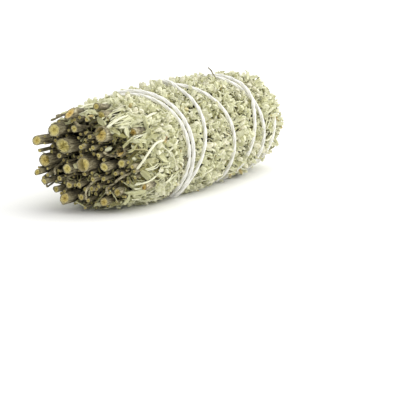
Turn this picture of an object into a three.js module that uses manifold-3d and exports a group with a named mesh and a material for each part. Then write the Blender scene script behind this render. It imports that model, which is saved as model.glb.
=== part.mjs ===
// A dried sagebrush bundle lying on its side: woody stems cut off at one end, leafy sprays laid round
// and over them, and one cotton thread wound up to the tip, back down across itself, and knotted.
// Millimetres, +Z up. The bundle lies along X with its cut stems at low X and rests on z = 0.
import * as THREE from "three";
import { mergeVertices } from "three/addons/utils/BufferGeometryUtils.js";
import Module from "manifold-3d";

const wasm = await Module();
wasm.setup();

// Driving dimensions. "Along" is measured from just outside the longest cut stem towards the tip.
const midAlong = 55.3;
const axisHeight = 15.8;
const radiusProfile = [
  [0, 15.8], [12, 16.6], [26, 17.6], [42, 18.3], [58, 18.5], [74, 18.3], [90, 17.6],
  [99, 16.2], [104, 14], [107.5, 10.8], [110, 7.4],
];
const settleBelow = 11; // how far under the axis the bundle starts to spread against the surface
const settleRate = 0.024; // how strongly it is pressed flat from there
const clearGap = 0.3; // air left between neighbouring pieces
const mergeWithin = 1e-3;
const smoothWithin = 0.02; // slivers thinner than this, left by joining and cutting, are taken out

const spray = {
  count: 10,
  firstAngle: -90,
  starts: [11, 11, 8, 6, 4.5, 4.5, 6, 9, 10.8, 12], // where each one's foliage begins, along
  end: 109,
  innerRadius: 13.4, // the stems lie inside this
  innerFrom: 82, // past here the stems have ended and the sprays close up to the axis
  innerTo: 92,
  tipInnerRadius: 1.6,
  twist: 16, // degrees over the whole length
  waver: 3.2, // degrees that the line between two sprays swings to each side
  waverLength: 10,
  waverShift: 2.1, // how far one such line is out of step with the next
  room: { from: 4, to: 116, radius: 26, stations: 11, inset: 0.18 }, // the wedge that a spray keeps within
};
const core = {
  depth: 3.3, // from the outside of the leaves to the packed middle that they stand out of
  uneven: 1.1, // how much that depth changes from place to place
  least: 1.2, // the thinnest it gets between the stems and the leaves
  thinEnd: 0.8,
  endShare: 0.35, // how much of its thickness is left at its two ends
  endStations: 1.5,
  endBefore: 1.5, // how far before the end of the spray it stops
  inset: 0.31, // from the line between two sprays to its side
  sides: [0.7, 0.4], // how far its two edges fall off
  crown: [0.5, 1], // how far its middle stands up
  crownPlace: [0.42, 0.5], // where that middle is, as a share of its width
  stations: 9,
};
const leaf = {
  count: 11,
  length: 21.5,
  lengthShare: [0.8, 1.15],
  width: 7.6,
  widthShare: [0.85, 1.1],
  thickness: 0.75,
  firstBefore: 1, // how far before the start of the foliage the first one is rooted
  lastBefore: 17, // and how far before the end the last one
  uneven: 0.6,
  rootDepth: 4.3, // how far under the outside a leaf grows from its spray
  cup: 1.6, // how much higher the lobes stand than the middle
  aside: 2.7, // half the distance between the two rows of leaves on a spray
  asideShare: [0.8, 1.1],
  leastRadius: 12, // the bundle is taken to be this thick when a leaf is set aside near the tip
  tipRadius: 9, // and this thick when a leaf is laid round it
  splay: 3, // degrees that each row leans outwards
  turn: [-3.6, 3.6], // degrees added to that
  lift: 1.1, // the most that a tip stands out
  pressed: 1.6, // how far under the outside a leaf is held where the thread crosses it
  heldWithin: [3, 6], // fully held nearer the thread than the first, free beyond the second
};
const leafOutline = [
  [0, -0.12], [0.7, -0.34], [0.92, -0.5], [0.8, -0.16], [1, 0],
  [0.8, 0.16], [0.92, 0.5], [0.7, 0.34], [0, 0.12],
];
const bud = {
  count: 3,
  length: 4.2,
  width: 3,
  sizeShare: [0.85, 1.25],
  depth: 1.6, // how far its middle lies under the outside
  tipShare: 0.6, // how much of its length lies before its middle
  tipRise: 0.4,
  rootDrop: 0.3,
  lean: 0.25,
  firstAfter: 3,
  lastBefore: 8,
  asideShare: 0.62, // of the way from the middle of its spray to the side
  sides: 4,
};
// Where in the repeatable draw each kind of thing starts.
const seeds = {
  core: 0, crown: 17, stemEnd: 70, perSpray: 40,
  leaf: 100, leafLength: 1000, leafAside: 3000, leafWidth: 4000, leafTurn: 5000, leafLift: 6000,
  bud: 7000, budSize: 7500, budLean: 7900,
};

const stemEnd = 78; // how far in the longest stems reach, along
const stem = {
  uneven: 6, // how much sooner some of them end
  taper: 0.7, // share of the thickness left at the end
  drawIn: [[0, 1], [5, 1], [22, 0.86], [stemEnd, 0.76]], // how the bunch of them narrows
  sway: 0.22,
  swayLength: 7,
  swayShift: 1.7,
  thick: 2.6, // from this diameter a stem has more sides
  sides: [5, 6],
  ridge: [0.94, 1.04], // how its corners differ
  rim: 0.14, // how much smaller the worn edge of the cut is, as a share of the diameter
  rimDepth: 0.35,
  kneeAfter: 3,
};
// Stems farther from the axis than "from" lie in the foliage and end soon after it covers them.
const outerStem = { from: 14.4, length: 21, radius: 14.9 };
// The cut stems: [along of the cut, place across, place up from the axis, diameter, slant of the cut].
const stems = [
  [1, 8, 10.2, 4.1, 8], [2, 5.3, 5.4, 4.9, -6], [4, -6.7, 9.6, 4.6, 5], [3, -1, 0, 4.6, 12],
  [2, 12.2, 0.3, 4, -10], [0, 13.6, 6.7, 3.1, 14], [3, 5, -1.8, 3.1, 4], [2.5, 5.6, -11, 3.4, 12],
  [5, -7.6, -0.5, 2.9, -8], [8, -11.1, 4.2, 2.9, 20], [8.5, -11.2, 0.4, 2.6, 6], [8, -4.8, 14.7, 2.8, -12],
  [3, 3.4, 15.4, 2.8, 56], [10, -1.2, 17, 2.1, 10], [4, 2.9, 10.6, 2.3, -9], [15, -15, -7.8, 3, 12],
  [8, -5.2, -12.1, 2.8, 16], [13, -12.6, 9.4, 2.7, -14], [8.5, -9.8, -8.7, 2.4, 9], [0, 13.7, -3.2, 1.9, 20],
  [0.5, 11.6, -5.9, 1.9, -20], [5, 5.7, -7.2, 2.3, 8], [6, 1.7, -10.9, 2, 0], [6, -0.9, 13.6, 1.8, 15],
  [4, 0.5, 5.1, 1.5, 8], [4.5, -3.5, 5.2, 1.5, -12], [5, -2.4, 8.4, 1.5, 10], [4.5, -3.6, -4.6, 1.6, -6],
  [6, -6.2, -4.4, 1.5, 12], [7, -10.1, -2.6, 1.5, -9], [4, 1, -6.6, 1.6, 5], [5, -5.3, 2.9, 1.5, -16],
  [3.5, 8.3, 1.9, 1.6, 10], [4.5, 8.7, -5.4, 1.7, -8], [4, 9.4, -8.8, 1.9, 10], [6, -1.9, -7.9, 1.6, 12],
];

const thread = {
  diameter: 1.4,
  proud: -0.2, // its middle against the outside of the foliage
  hump: 1.15, // how far the upper run climbs where it crosses the lower one
  humpReach: 5,
  floorGap: 0.1,
  bed: 1.9, // how high it holds the leaves over the surface, underneath
  crossWithin: 6, // degrees either way in which the lower run is looked for
  markCount: 240,
  runCount: 600,
  sides: 5,
  step: 24, // degrees between one facet and the next
  pointsPerStep: 3,
};
// The thread's way round, chosen by eye: [degrees turned, along].
const wayUp = [
  [-27, 34.6], [12, 32.4], [60, 31.6], [89, 33], [110, 34.4], [130, 36], [150, 37.2], [180, 38], [220, 38.4],
  [270, 41.4], [330, 46], [400, 51], [449, 55.4], [468, 58.6], [488, 62.2], [516, 65.4], [550, 67.2],
  [600, 68.6], [680, 72.6], [760, 77.6], [835, 83.6], [862, 86.4], [900, 88.6], [940, 89.8], [1010, 92.6],
  [1100, 97], [1170, 100.6],
];
const wayDown = [
  [1170, 100.6], [1200, 101.6], [1233, 101.4], [1260, 99.4], [1300, 96.6], [1380, 93.6], [1480, 89.6],
  [1573, 85.2], [1610, 82], [1648, 78.6], [1720, 72.4], [1800, 64], [1870, 56.4], [1905, 53], [1940, 50.8],
  [1975, 47.6], [2010, 43], [2050, 38.6], [2110, 34], [2180, 32.4], [2220, 33.2], [2249, 35], [2270, 36.4],
  [2290, 37.8], [2310, 39], [2345, 39.8], [2380, 39.9], [2430, 38.8], [2493, 36.6],
];
const knot = {
  along: 35.6,
  angle: -26,
  radius: 1.9,
  shape: [1.25, 0.9, 0.75], // the lump is longer along the bundle and flatter against it
  sunk: 0.1,
  tails: [{ from: 0.8, reach: 7.2, turn: [4, 28] }, { from: -0.8, reach: 4, turn: [-4, 20] }],
  tailSunk: 0.2,
};

const slabSize = [160, 80, 20];
const degree = Math.PI / 180;

// A repeatable draw between 0 and 1 for each whole number.
function draw(k) {
  const s = Math.sin(k * 12.9898 + 4.1414) * 43758.5453;
  return s - Math.floor(s);
}

const ranged = ([low, high], k) => low + (high - low) * draw(k);

function smoothWay(points) {
  return new THREE.SplineCurve(points.map(([turned, along]) => new THREE.Vector2(turned, along)));
}

const threadMarks = [wayUp, wayDown].flatMap((way) => smoothWay(way).getPoints(thread.markCount));

// Reads a list of [place, value] at any place between them.
function between(list, at) {
  if (at <= list[0][0]) return list[0][1];
  for (let i = 1; i < list.length; i++) {
    const [a, va] = list[i - 1];
    const [b, vb] = list[i];
    if (at <= b) return va + ((vb - va) * (at - a)) / (b - a);
  }
  return list[list.length - 1][1];
}

// The same list rounded off at its corners.
function smoothBetween(list, at, reach) {
  const parts = [-1, -0.5, 0, 0.5, 1];
  return parts.reduce((sum, p) => sum + between(list, at + p * reach), 0) / parts.length;
}

const radiusAt = (along) => smoothBetween(radiusProfile, along, 2);

// The underside spreads against the surface instead of hanging down as a full round.
function settled(up) {
  const under = -settleBelow - up;
  return under > 0 ? -settleBelow - under + settleRate * under * under : up;
}

function fromCross(along, across, up) {
  return new THREE.Vector3(along - midAlong, across, axisHeight + settled(up));
}

function onBundle(along, angle, radius) {
  return fromCross(along, radius * Math.cos(angle), radius * Math.sin(angle));
}

function geometryOf(points, faces) {
  const geometry = new THREE.BufferGeometry();
  geometry.setFromPoints(points);
  geometry.setIndex(faces.flat());
  return geometry;
}

function solidOf(geometry) {
  const bare = geometry.clone();
  bare.deleteAttribute("normal");
  bare.deleteAttribute("uv");
  const merged = mergeVertices(bare, mergeWithin);
  const vertProperties = new Float32Array(merged.attributes.position.array);
  const triVerts = new Uint32Array(merged.index.array);
  const made = new wasm.Manifold(new wasm.Mesh({ numProp: 3, vertProperties, triVerts }));
  if (made.volume() > 0) return made;
  triVerts.reverse(); // turns every face round, so that the piece faces out
  return new wasm.Manifold(new wasm.Mesh({ numProp: 3, vertProperties, triVerts }));
}

function geometryFrom(solid) {
  const mesh = solid.getMesh();
  const geometry = new THREE.BufferGeometry();
  const places = new Float32Array(mesh.numVert * 3);
  for (let i = 0; i < mesh.numVert; i++) {
    places.set(mesh.vertProperties.subarray(i * mesh.numProp, i * mesh.numProp + 3), i * 3);
  }
  geometry.setAttribute("position", new THREE.BufferAttribute(places, 3));
  geometry.setIndex(new THREE.BufferAttribute(new Uint32Array(mesh.triVerts), 1));
  geometry.computeVertexNormals();
  return geometry;
}

// Joins rings of points, all with the same count, into one closed skin. Both halves of a ring are split
// into triangles alike, so that the walls of two neighbouring wedges stay parallel.
function loft(rings) {
  const n = rings[0].length;
  const faces = [];
  for (let r = 0; r + 1 < rings.length; r++) {
    for (let i = 0; i < n; i++) {
      const a = r * n + i;
      const b = r * n + ((i + 1) % n);
      if (i < n / 2) faces.push([a, b, b + n], [a, b + n, a + n]);
      else faces.push([a, b, a + n], [b, b + n, a + n]);
    }
  }
  const last = (rings.length - 1) * n;
  for (let i = 1; i + 1 < n; i++) faces.push([0, i + 1, i], [last, last + i, last + i + 1]);
  return geometryOf(rings.flat(), faces);
}

function joined(solids) {
  return solids.reduce((sum, s) => (sum ? sum.add(s) : s), null);
}

// What hangs together with most of the piece; loose scraps are dropped.
function largestBody(solid) {
  return solid.decompose().reduce((best, s) => (!best || s.volume() > best.volume() ? s : best), null);
}

// The line between spray i and the next one, as an angle in radians. It wavers, as pressed foliage does.
function seam(i, along) {
  const n = ((i % spray.count) + spray.count) % spray.count;
  const turns = (i - n) / spray.count;
  const straight = spray.firstAngle + ((n + 0.5) * 360) / spray.count + 360 * turns;
  const twist = (spray.twist * (along - midAlong)) / spray.end;
  const waver = spray.waver * Math.sin(along / spray.waverLength + n * spray.waverShift);
  return (straight + twist + waver) * degree;
}

const sprayMiddle = (i, along) => (seam(i - 1, along) + seam(i, along)) / 2;

function sprayInner(along) {
  const share = THREE.MathUtils.smoothstep(along, spray.innerFrom, spray.innerTo);
  return THREE.MathUtils.lerp(spray.innerRadius, spray.tipInnerRadius, share);
}

function stationsOf(start, end, count) {
  return Array.from({ length: count }, (_, k) => start + ((end - start) * k) / (count - 1));
}

// A ring of five points between the seams on the two sides of spray i, at one place along.
function wedgeRing(i, along, inset, inner, edges, crown, crownPlace) {
  const low = (radius) => onBundle(along, seam(i - 1, along) + inset / radius, radius);
  const high = (radius) => onBundle(along, seam(i, along) - inset / radius, radius);
  const middle = THREE.MathUtils.lerp(seam(i - 1, along), seam(i, along), crownPlace);
  return [low(inner), low(edges[0]), onBundle(along, middle, crown), high(edges[1]), high(inner)];
}

// The room that one spray has: a long wedge between two seams.
function sprayRoom(i) {
  const { from, to, radius, stations, inset } = spray.room;
  const rings = stationsOf(from, to, stations).map((along) => {
    const inner = Math.min(sprayInner(along), radiusAt(along) - 1);
    return wedgeRing(i, along, inset, inner, [radius, radius], radius, 0.5);
  });
  return solidOf(loft(rings));
}

// The packed middle of a spray, which its leaves and buds stand out of.
function sprayCore(i) {
  const rings = stationsOf(spray.starts[i], spray.end - core.endBefore, core.stations).map((along, k) => {
    const key = i * seeds.perSpray + k;
    const fromEnd = Math.min(k, core.stations - 1 - k);
    const share = Math.min(1, core.endShare + fromEnd / core.endStations);
    const inner = Math.min(sprayInner(along), radiusAt(along) - core.depth - core.least);
    const depth = core.depth + core.uneven * (draw(key + seeds.core) - 0.5);
    const outer = inner + Math.max(core.thinEnd, (radiusAt(along) - depth - inner) * share);
    const edges = core.sides.map((drop) => outer - drop);
    const crown = outer + ranged(core.crown, key + seeds.crown);
    return wedgeRing(i, along, core.inset, inner, edges, crown, ranged(core.crownPlace, k + i));
  });
  return solidOf(loft(rings));
}

// Degrees from one angle to another, the short way round.
const turnsApart = (a, b) => THREE.MathUtils.euclideanModulo(a - b + 180, 360) - 180;

// How far a place on the bundle is from the thread, in millimetres.
function threadGap(along, angle) {
  const degrees = angle / degree;
  return threadMarks.reduce((least, mark) => {
    const apart = turnsApart(degrees, mark.x) * degree * radiusAt(along);
    return Math.min(least, Math.hypot(mark.y - along, apart));
  }, Infinity);
}

// How freely a leaf can stand: 0 where the thread holds it down, 1 away from the thread.
const freedom = (along, angle) => THREE.MathUtils.smoothstep(threadGap(along, angle), ...leaf.heldWithin);

// A place on a leaf, held in by the thread where it crosses and flattened against the surface underneath.
function onLeaf(along, angle, height, inside) {
  const free = freedom(along, angle);
  const held = THREE.MathUtils.lerp(Math.min(height, -leaf.pressed), height, free);
  const place = onBundle(along, angle, radiusAt(along) + held - inside);
  place.z = Math.max(place.z, inside + (1 - free) * thread.bed);
  return place;
}

// One wedge-shaped leaf with three lobes at its broad tip, its root sunk in the core, lying on the bundle.
function leafSolid({ along, angle, length, width, turn, lift }) {
  const flat = leafOutline.map(([u, v]) => new THREE.Vector2(u * length, v * width));
  const heightAt = (u, v) => THREE.MathUtils.lerp(-leaf.rootDepth, lift, u) + leaf.cup * v * v;
  const shell = (inside) =>
    leafOutline.map(([u, v]) => {
      const forward = u * length * Math.cos(turn) - v * width * Math.sin(turn);
      const sideways = u * length * Math.sin(turn) + v * width * Math.cos(turn);
      const at = along + forward;
      const across = sideways / Math.max(radiusAt(at), leaf.tipRadius);
      return onLeaf(at, angle + across, heightAt(u, v), inside);
    });
  const points = [...shell(0), ...shell(leaf.thickness)];
  const n = leafOutline.length;
  const caps = THREE.ShapeUtils.triangulateShape(flat, []);
  const faces = caps.flatMap(([a, b, c]) => [[a, b, c], [n + c, n + b, n + a]]);
  for (let i = 0; i < n; i++) {
    const j = (i + 1) % n;
    faces.push([i, n + i, n + j], [i, n + j, j]);
  }
  return solidOf(geometryOf(points, faces));
}

// One flower head: a pointed egg, sunk by its lower half.
function budSolid(along, angle, size, lean) {
  const height = -bud.depth - leaf.pressed * (1 - freedom(along, angle));
  const half = size * bud.width * 0.5;
  const root = onLeaf(along - size * bud.length * (1 - bud.tipShare), angle, height - bud.rootDrop, 0);
  const tipAngle = angle + lean / radiusAt(along);
  const tip = onLeaf(along + size * bud.length * bud.tipShare, tipAngle, height + bud.tipRise, 0);
  const waist = Array.from({ length: bud.sides }, (_, s) => {
    const a = (s * 2 * Math.PI) / bud.sides;
    const side = (half * Math.cos(a)) / radiusAt(along);
    return onLeaf(along + lean * Math.cos(a), angle + side, height + half * Math.sin(a), 0);
  });
  const faces = waist.flatMap((_, s) => {
    const next = (s + 1) % bud.sides;
    return [[bud.sides, s, next], [bud.sides + 1, next, s]];
  });
  return solidOf(geometryOf([...waist, root, tip], faces));
}

function sprayLeaves(i) {
  const start = spray.starts[i] - leaf.firstBefore;
  const span = spray.end - leaf.lastBefore - start;
  return Array.from({ length: leaf.count }, (_, k) => {
    const key = seeds.leaf + i * seeds.perSpray + k;
    const along = start + (span * (k + leaf.uneven * draw(key))) / leaf.count;
    const length = leaf.length * ranged(leaf.lengthShare, key + seeds.leafLength);
    const centre = along + length / 2;
    const side = k % 2 ? 1 : -1;
    const aside = side * leaf.aside * ranged(leaf.asideShare, key + seeds.leafAside);
    return leafSolid({
      along,
      angle: sprayMiddle(i, centre) + aside / Math.max(radiusAt(centre), leaf.leastRadius),
      length,
      width: leaf.width * ranged(leaf.widthShare, key + seeds.leafWidth),
      turn: (side * leaf.splay + ranged(leaf.turn, key + seeds.leafTurn)) * degree,
      lift: leaf.lift * draw(key + seeds.leafLift),
    });
  });
}

function sprayBuds(i) {
  const start = spray.starts[i] + bud.firstAfter;
  const span = spray.end - bud.lastBefore - start;
  return Array.from({ length: bud.count }, (_, k) => {
    const key = i * seeds.perSpray + k;
    const along = start + (span * (k + draw(key + seeds.bud))) / bud.count;
    const half = (seam(i, along) - seam(i - 1, along)) / 2;
    const angle = sprayMiddle(i, along) + half * bud.asideShare * (k % 2 ? 1 : -1);
    const lean = bud.lean * (2 * draw(key + seeds.budLean) - 1);
    return budSolid(along, angle, ranged(bud.sizeShare, key + seeds.budSize), lean);
  });
}

const isOuter = ([, across, up]) => Math.hypot(across, up) > outerStem.from;

function stemReach(place, index) {
  return isOuter(place) ? place[0] + outerStem.length : stemEnd - stem.uneven * draw(index + seeds.stemEnd);
}

// Where the stem's axis runs, and how thick it is there.
function stemPlace(place, along, index) {
  const [cut, across, up, diameter] = place;
  const gone = Math.min(1, (along - cut) / outerStem.length);
  const outer = 1 - (1 - outerStem.radius / Math.hypot(across, up)) * gone;
  const drawn = isOuter(place) ? outer : between(stem.drawIn, along) / between(stem.drawIn, cut);
  const sway = stem.sway * Math.sin(along / stem.swayLength + index * stem.swayShift);
  const taper = 1 - ((1 - stem.taper) * Math.max(0, along - cut)) / (stemEnd - cut);
  return { across: across * drawn + sway, up: up * drawn, radius: (diameter / 2) * taper };
}

function stemRing(place, index, along, grow, slant) {
  const { across, up, radius } = stemPlace(place, along, index);
  const sides = place[3] > stem.thick ? stem.sides[1] : stem.sides[0];
  return Array.from({ length: sides }, (_, s) => {
    const a = (s * 2 * Math.PI) / sides + index;
    const reach = radius * ranged(stem.ridge, index * 9 + s) + grow;
    const back = Math.tan(slant * degree) * reach * Math.sin(a + index);
    return fromCross(along + back, across + reach * Math.cos(a), up + reach * Math.sin(a));
  });
}

// One woody stem: a slanting cut with a worn rim, a slight knee, and a taper to its end inside the bundle.
// Grown by a gap, it is the room that the foliage leaves for it.
function stemSolid(place, index, grow = 0) {
  const [cut, , , diameter, slant] = place;
  const reach = stemReach(place, index);
  const lean = (diameter / 2) * Math.abs(Math.tan(slant * degree));
  const rim = stemRing(place, index, cut, -stem.rim * diameter, slant);
  const before = stemRing(place, index, cut - stem.kneeAfter, grow, slant);
  const rings = [
    grow ? before : rim,
    stemRing(place, index, cut + stem.rimDepth, grow, slant),
    stemRing(place, index, cut + stem.kneeAfter + 2 * lean, grow, 0),
    stemRing(place, index, (cut + reach) / 2, grow, 0),
    stemRing(place, index, reach + grow, grow, 0),
  ];
  return solidOf(loft(rings));
}

const lowerRun = smoothWay(wayUp).getPoints(thread.runCount);

// How far along the bundle the lower run passes from here.
function crossingGap(turn, along) {
  const beside = lowerRun.filter((p) => Math.abs(turnsApart(p.x, turn)) < thread.crossWithin);
  return Math.min(...beside.map((p) => Math.abs(p.y - along)));
}

// On the way back down the thread climbs over what it crosses.
function threadPath(points, climbs) {
  const smooth = smoothWay(points);
  const turned = points[points.length - 1][0] - points[0][0];
  const count = thread.pointsPerStep * Math.round(turned / thread.step);
  return Array.from({ length: count + 1 }, (_, k) => {
    const { x: turn, y: along } = smooth.getPoint(k / count);
    const near = climbs ? crossingGap(turn, along) / thread.humpReach : Infinity;
    const over = thread.hump * Math.exp(-3 * near * near);
    const place = onBundle(along, turn * degree, radiusAt(along) + thread.proud + over);
    place.z = Math.max(place.z, thread.diameter / 2 + thread.floorGap);
    return place;
  });
}

function threadTube(points, diameter, steps) {
  const section = new THREE.Shape();
  const round = new THREE.Path().absarc(0, 0, diameter / 2, 0, 2 * Math.PI);
  section.setFromPoints(round.getSpacedPoints(thread.sides));
  const extrudePath = new THREE.CatmullRomCurve3(points);
  return solidOf(new THREE.ExtrudeGeometry(section, { steps, bevelEnabled: false, extrudePath }));
}

// The tied ends: a tight lump where both runs meet, with two cut tails lying on the bundle.
function knotSolids(grow) {
  const angle = knot.angle * degree;
  const lump = new THREE.IcosahedronGeometry(knot.radius + grow, 0);
  lump.scale(...knot.shape);
  lump.rotateX(angle + Math.PI / 2);
  const centre = onBundle(knot.along, angle, radiusAt(knot.along) - knot.sunk);
  lump.translate(centre.x, centre.y, centre.z);
  const tails = knot.tails.map(({ from, reach, turn }) => {
    const points = [0, 0.5, 1].map((share) => {
      const along = knot.along + from + Math.sign(from) * reach * share;
      const turned = knot.angle + THREE.MathUtils.lerp(...turn, share);
      return onBundle(along, turned * degree, radiusAt(along) - knot.tailSunk);
    });
    return threadTube(points, thread.diameter + 2 * grow, 2);
  });
  return [solidOf(lump), ...tails];
}

function threadSolid(grow) {
  const diameter = thread.diameter + 2 * grow;
  const runs = [threadPath(wayUp, false), threadPath(wayDown, true)].map((path) =>
    threadTube(path, diameter, (path.length - 1) / thread.pointsPerStep),
  );
  return joined([...runs, ...knotSolids(grow)]);
}

// Everything under the surface that the bundle rests on.
function underSurface() {
  const slab = new THREE.BoxGeometry(...slabSize);
  slab.translate(0, 0, -slabSize[2] / 2);
  return solidOf(slab);
}

const bark = new THREE.MeshStandardMaterial({ color: 0x8c8267, roughness: 0.9, metalness: 0 });
const foliage = new THREE.MeshStandardMaterial({ color: 0xb9bd97, roughness: 0.95, metalness: 0 });
const cotton = new THREE.MeshStandardMaterial({ color: 0xe9e8df, roughness: 0.9, metalness: 0 });

function named(name, solid, material) {
  const mesh = new THREE.Mesh(geometryFrom(solid), material);
  mesh.name = name;
  return mesh;
}

const number = (i) => String(i + 1).padStart(2, "0");

// A spray keeps within its own wedge and leaves room for the stems, the thread and the surface it rests on.
function buildBundle() {
  const bundle = new THREE.Group();
  const stemRoom = stems.map((place, i) => stemSolid(place, i, clearGap));
  const taken = joined([...stemRoom, threadSolid(clearGap), underSurface()]);
  for (let i = 0; i < spray.count; i++) {
    const whole = joined([sprayCore(i), ...sprayLeaves(i), ...sprayBuds(i)]);
    const fitted = whole.intersect(sprayRoom(i)).subtract(taken).simplify(smoothWithin);
    bundle.add(named(`leafy_spray_${number(i)}`, largestBody(solidOf(geometryFrom(fitted))), foliage));
  }
  stems.forEach((place, i) => bundle.add(named(`cut_stem_${number(i)}`, stemSolid(place, i), bark)));
  bundle.add(named("cotton_thread", threadSolid(0), cotton));
  return bundle;
}

export default buildBundle();
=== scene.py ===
# A dried sagebrush bundle lying on a pale floor: woody stems cut off at one end, small curled leaves
# packed all round, and cotton thread wound up to the tip and back. Metres, +Z up.
import math
import bpy
import numpy as np
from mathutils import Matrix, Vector


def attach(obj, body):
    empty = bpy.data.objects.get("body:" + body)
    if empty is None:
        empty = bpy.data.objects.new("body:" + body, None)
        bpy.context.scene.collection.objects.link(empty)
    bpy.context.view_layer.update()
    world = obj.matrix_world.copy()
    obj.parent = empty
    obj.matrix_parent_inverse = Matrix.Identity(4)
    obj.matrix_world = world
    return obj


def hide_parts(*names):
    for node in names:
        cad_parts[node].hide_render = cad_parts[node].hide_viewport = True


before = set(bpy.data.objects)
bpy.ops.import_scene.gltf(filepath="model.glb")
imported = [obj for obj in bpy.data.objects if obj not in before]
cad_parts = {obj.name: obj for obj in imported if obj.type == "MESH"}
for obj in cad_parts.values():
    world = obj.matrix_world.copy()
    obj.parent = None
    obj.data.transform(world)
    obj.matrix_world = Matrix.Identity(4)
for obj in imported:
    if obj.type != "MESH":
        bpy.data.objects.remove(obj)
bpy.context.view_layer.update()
print("frame loaded:", len(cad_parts), "solids")

mm = 0.001

# The bundle's own measures, as in the part's source: "along" runs from just outside the longest cut
# stem to the tip, an angle is 0 at the back, 90 degrees on top and 180 at the front.
bundle = {
    "midAlong": 55.3 * mm,
    "axisHeight": 15.8 * mm,
    "settleBelow": 11 * mm,    # how far under the axis it starts to spread on the floor
    "settleRate": 0.024 / mm,
    "radius": np.array([(0, 15.8), (12, 16.6), (26, 17.6), (42, 18.3), (58, 18.5), (74, 18.3), (90, 17.6),
                        (99, 16.2), (104, 14), (107.5, 10.8), (110, 7.4), (111.2, 3.6), (111.6, 1)]) * mm,
    "sprays": 10,
    "firstAngle": -90,
    "twist": 16,
    "starts": [11, 11, 8, 6, 4.5, 4.5, 6, 9, 10.8, 12],    # where each spray's foliage begins, mm
    "end": 109 * mm,
    "length": 111.6 * mm,
}

# The view of the photograph, which measures 400 by 400.
view = {
    "azimuth": -60,
    "elevation": 11.19,
    "distance": 0.650,
    "lens": 178.425,
    "sensor": 36,
    "picture": 400,
    "nearest": 0.01,
    "aim": (172.84, 138.73),    # where the middle of the bundle is in the picture
    "target": (58 * mm - bundle["midAlong"], 0, bundle["axisHeight"]),
}


def placeCamera():
    a, e = math.radians(view["azimuth"]), math.radians(view["elevation"])
    back = Vector((math.sin(a) * math.cos(e), -math.cos(a) * math.cos(e), math.sin(e)))
    right = Vector((math.cos(a), math.sin(a), 0))
    up = back.cross(right)
    perPixel = view["distance"] * view["sensor"] / (view["lens"] * view["picture"])
    half = view["picture"] / 2
    place = Vector(view["target"]) + back * view["distance"]
    place -= right * (view["aim"][0] - half) * perPixel
    place -= up * (half - view["aim"][1]) * perPixel
    bpy.ops.object.camera_add(location=place, rotation=back.to_track_quat("Z", "Y").to_euler())
    camera = bpy.context.object
    camera.name = "photographView"
    camera.data.lens = view["lens"]
    camera.data.sensor_width = view["sensor"]
    camera.data.clip_start = view["nearest"]
    bpy.context.scene.camera = camera


placeCamera()
print("camera placed")


# Bundle space: every place on the bundle is worked out here, for whole arrays at once.

def radiusAt(along):
    at, value = bundle["radius"].T
    steps = np.array([-2, -1, 0, 1, 2]) * mm
    return sum(np.interp(along + step, at, value) for step in steps) / len(steps)


def fromCross(along, across, up):
    under = -bundle["settleBelow"] - up
    pressed = -bundle["settleBelow"] - under + bundle["settleRate"] * under**2
    height = bundle["axisHeight"] + np.where(under > 0, pressed, up)
    return np.stack(np.broadcast_arrays(along - bundle["midAlong"], across, height), axis=-1)


def onBundle(along, angle, radius):
    return fromCross(along, radius * np.cos(angle), radius * np.sin(angle))


# A smooth line through given points, evenly read.
def smoothWay(points, count):
    points = np.asarray(points, float)
    last = len(points) - 1
    t = np.linspace(0, last, count)
    k = np.minimum(t.astype(int), last - 1)
    p = [points[np.clip(k + j, 0, last)] for j in (-1, 0, 1, 2)]
    w = (t - k)[:, None]
    return 0.5 * (2 * p[1] + (p[2] - p[0]) * w + (2 * p[0] - 5 * p[1] + 4 * p[2] - p[3]) * w**2
                  + (3 * p[1] - p[0] - 3 * p[2] + p[3]) * w**3)


# The thread's way round, the same points as in the part's source: degrees turned, then metres along.
thread = {
    "diameter": 1.4 * mm,
    "proud": -0.2 * mm,
    "hump": 1.15 * mm,    # how far the upper run climbs where it crosses the lower one
    "humpReach": 5 * mm,
    "humpFall": 3,    # how steeply it comes down again
    "besideGap": 1.8 * mm,    # where the two runs lie about this far apart the upper leans on the lower
    "besideSpread": 0.5 * mm,
    "lean": 0.55 * mm,
    "sameSide": 6,    # degrees within which two places on the thread lie side by side
    "lowest": 0.8 * mm,
    "readings": (1400, 700),    # places read along a run, and along the lower run when it is crossed
    "wayUp": np.array([
        (-27, 34.6), (12, 32.4), (60, 31.6), (89, 33), (110, 34.4), (130, 36), (150, 37.2), (180, 38),
        (220, 38.4), (270, 41.4), (330, 46), (400, 51), (449, 55.4), (468, 58.6), (488, 62.2), (516, 65.4),
        (550, 67.2), (600, 68.6), (680, 72.6), (760, 77.6), (835, 83.6), (862, 86.4), (900, 88.6),
        (940, 89.8), (1010, 92.6), (1100, 97), (1170, 100.6)]) * (1, mm),
    "wayDown": np.array([
        (1170, 100.6), (1200, 101.6), (1233, 101.4), (1260, 99.4), (1300, 96.6), (1380, 93.6), (1480, 89.6),
        (1573, 85.2), (1610, 82), (1648, 78.6), (1720, 72.4), (1800, 64), (1870, 56.4), (1905, 53),
        (1940, 50.8), (1975, 47.6), (2010, 43), (2050, 38.6), (2110, 34), (2180, 32.4), (2220, 33.2),
        (2249, 35), (2270, 36.4), (2290, 37.8), (2310, 39), (2345, 39.8), (2380, 39.9), (2430, 38.8),
        (2493, 36.6)]) * (1, mm),
    "strands": 3,
    "strandRadius": 0.4 * mm,
    "strandOffset": 0.27 * mm,
    "pitch": 13 * mm,    # length of one full twist
    "sides": 7,
    "step": 0.75 * mm,
}


def turnsApart(a, b):
    return np.mod(a - b + 180, 360) - 180


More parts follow.
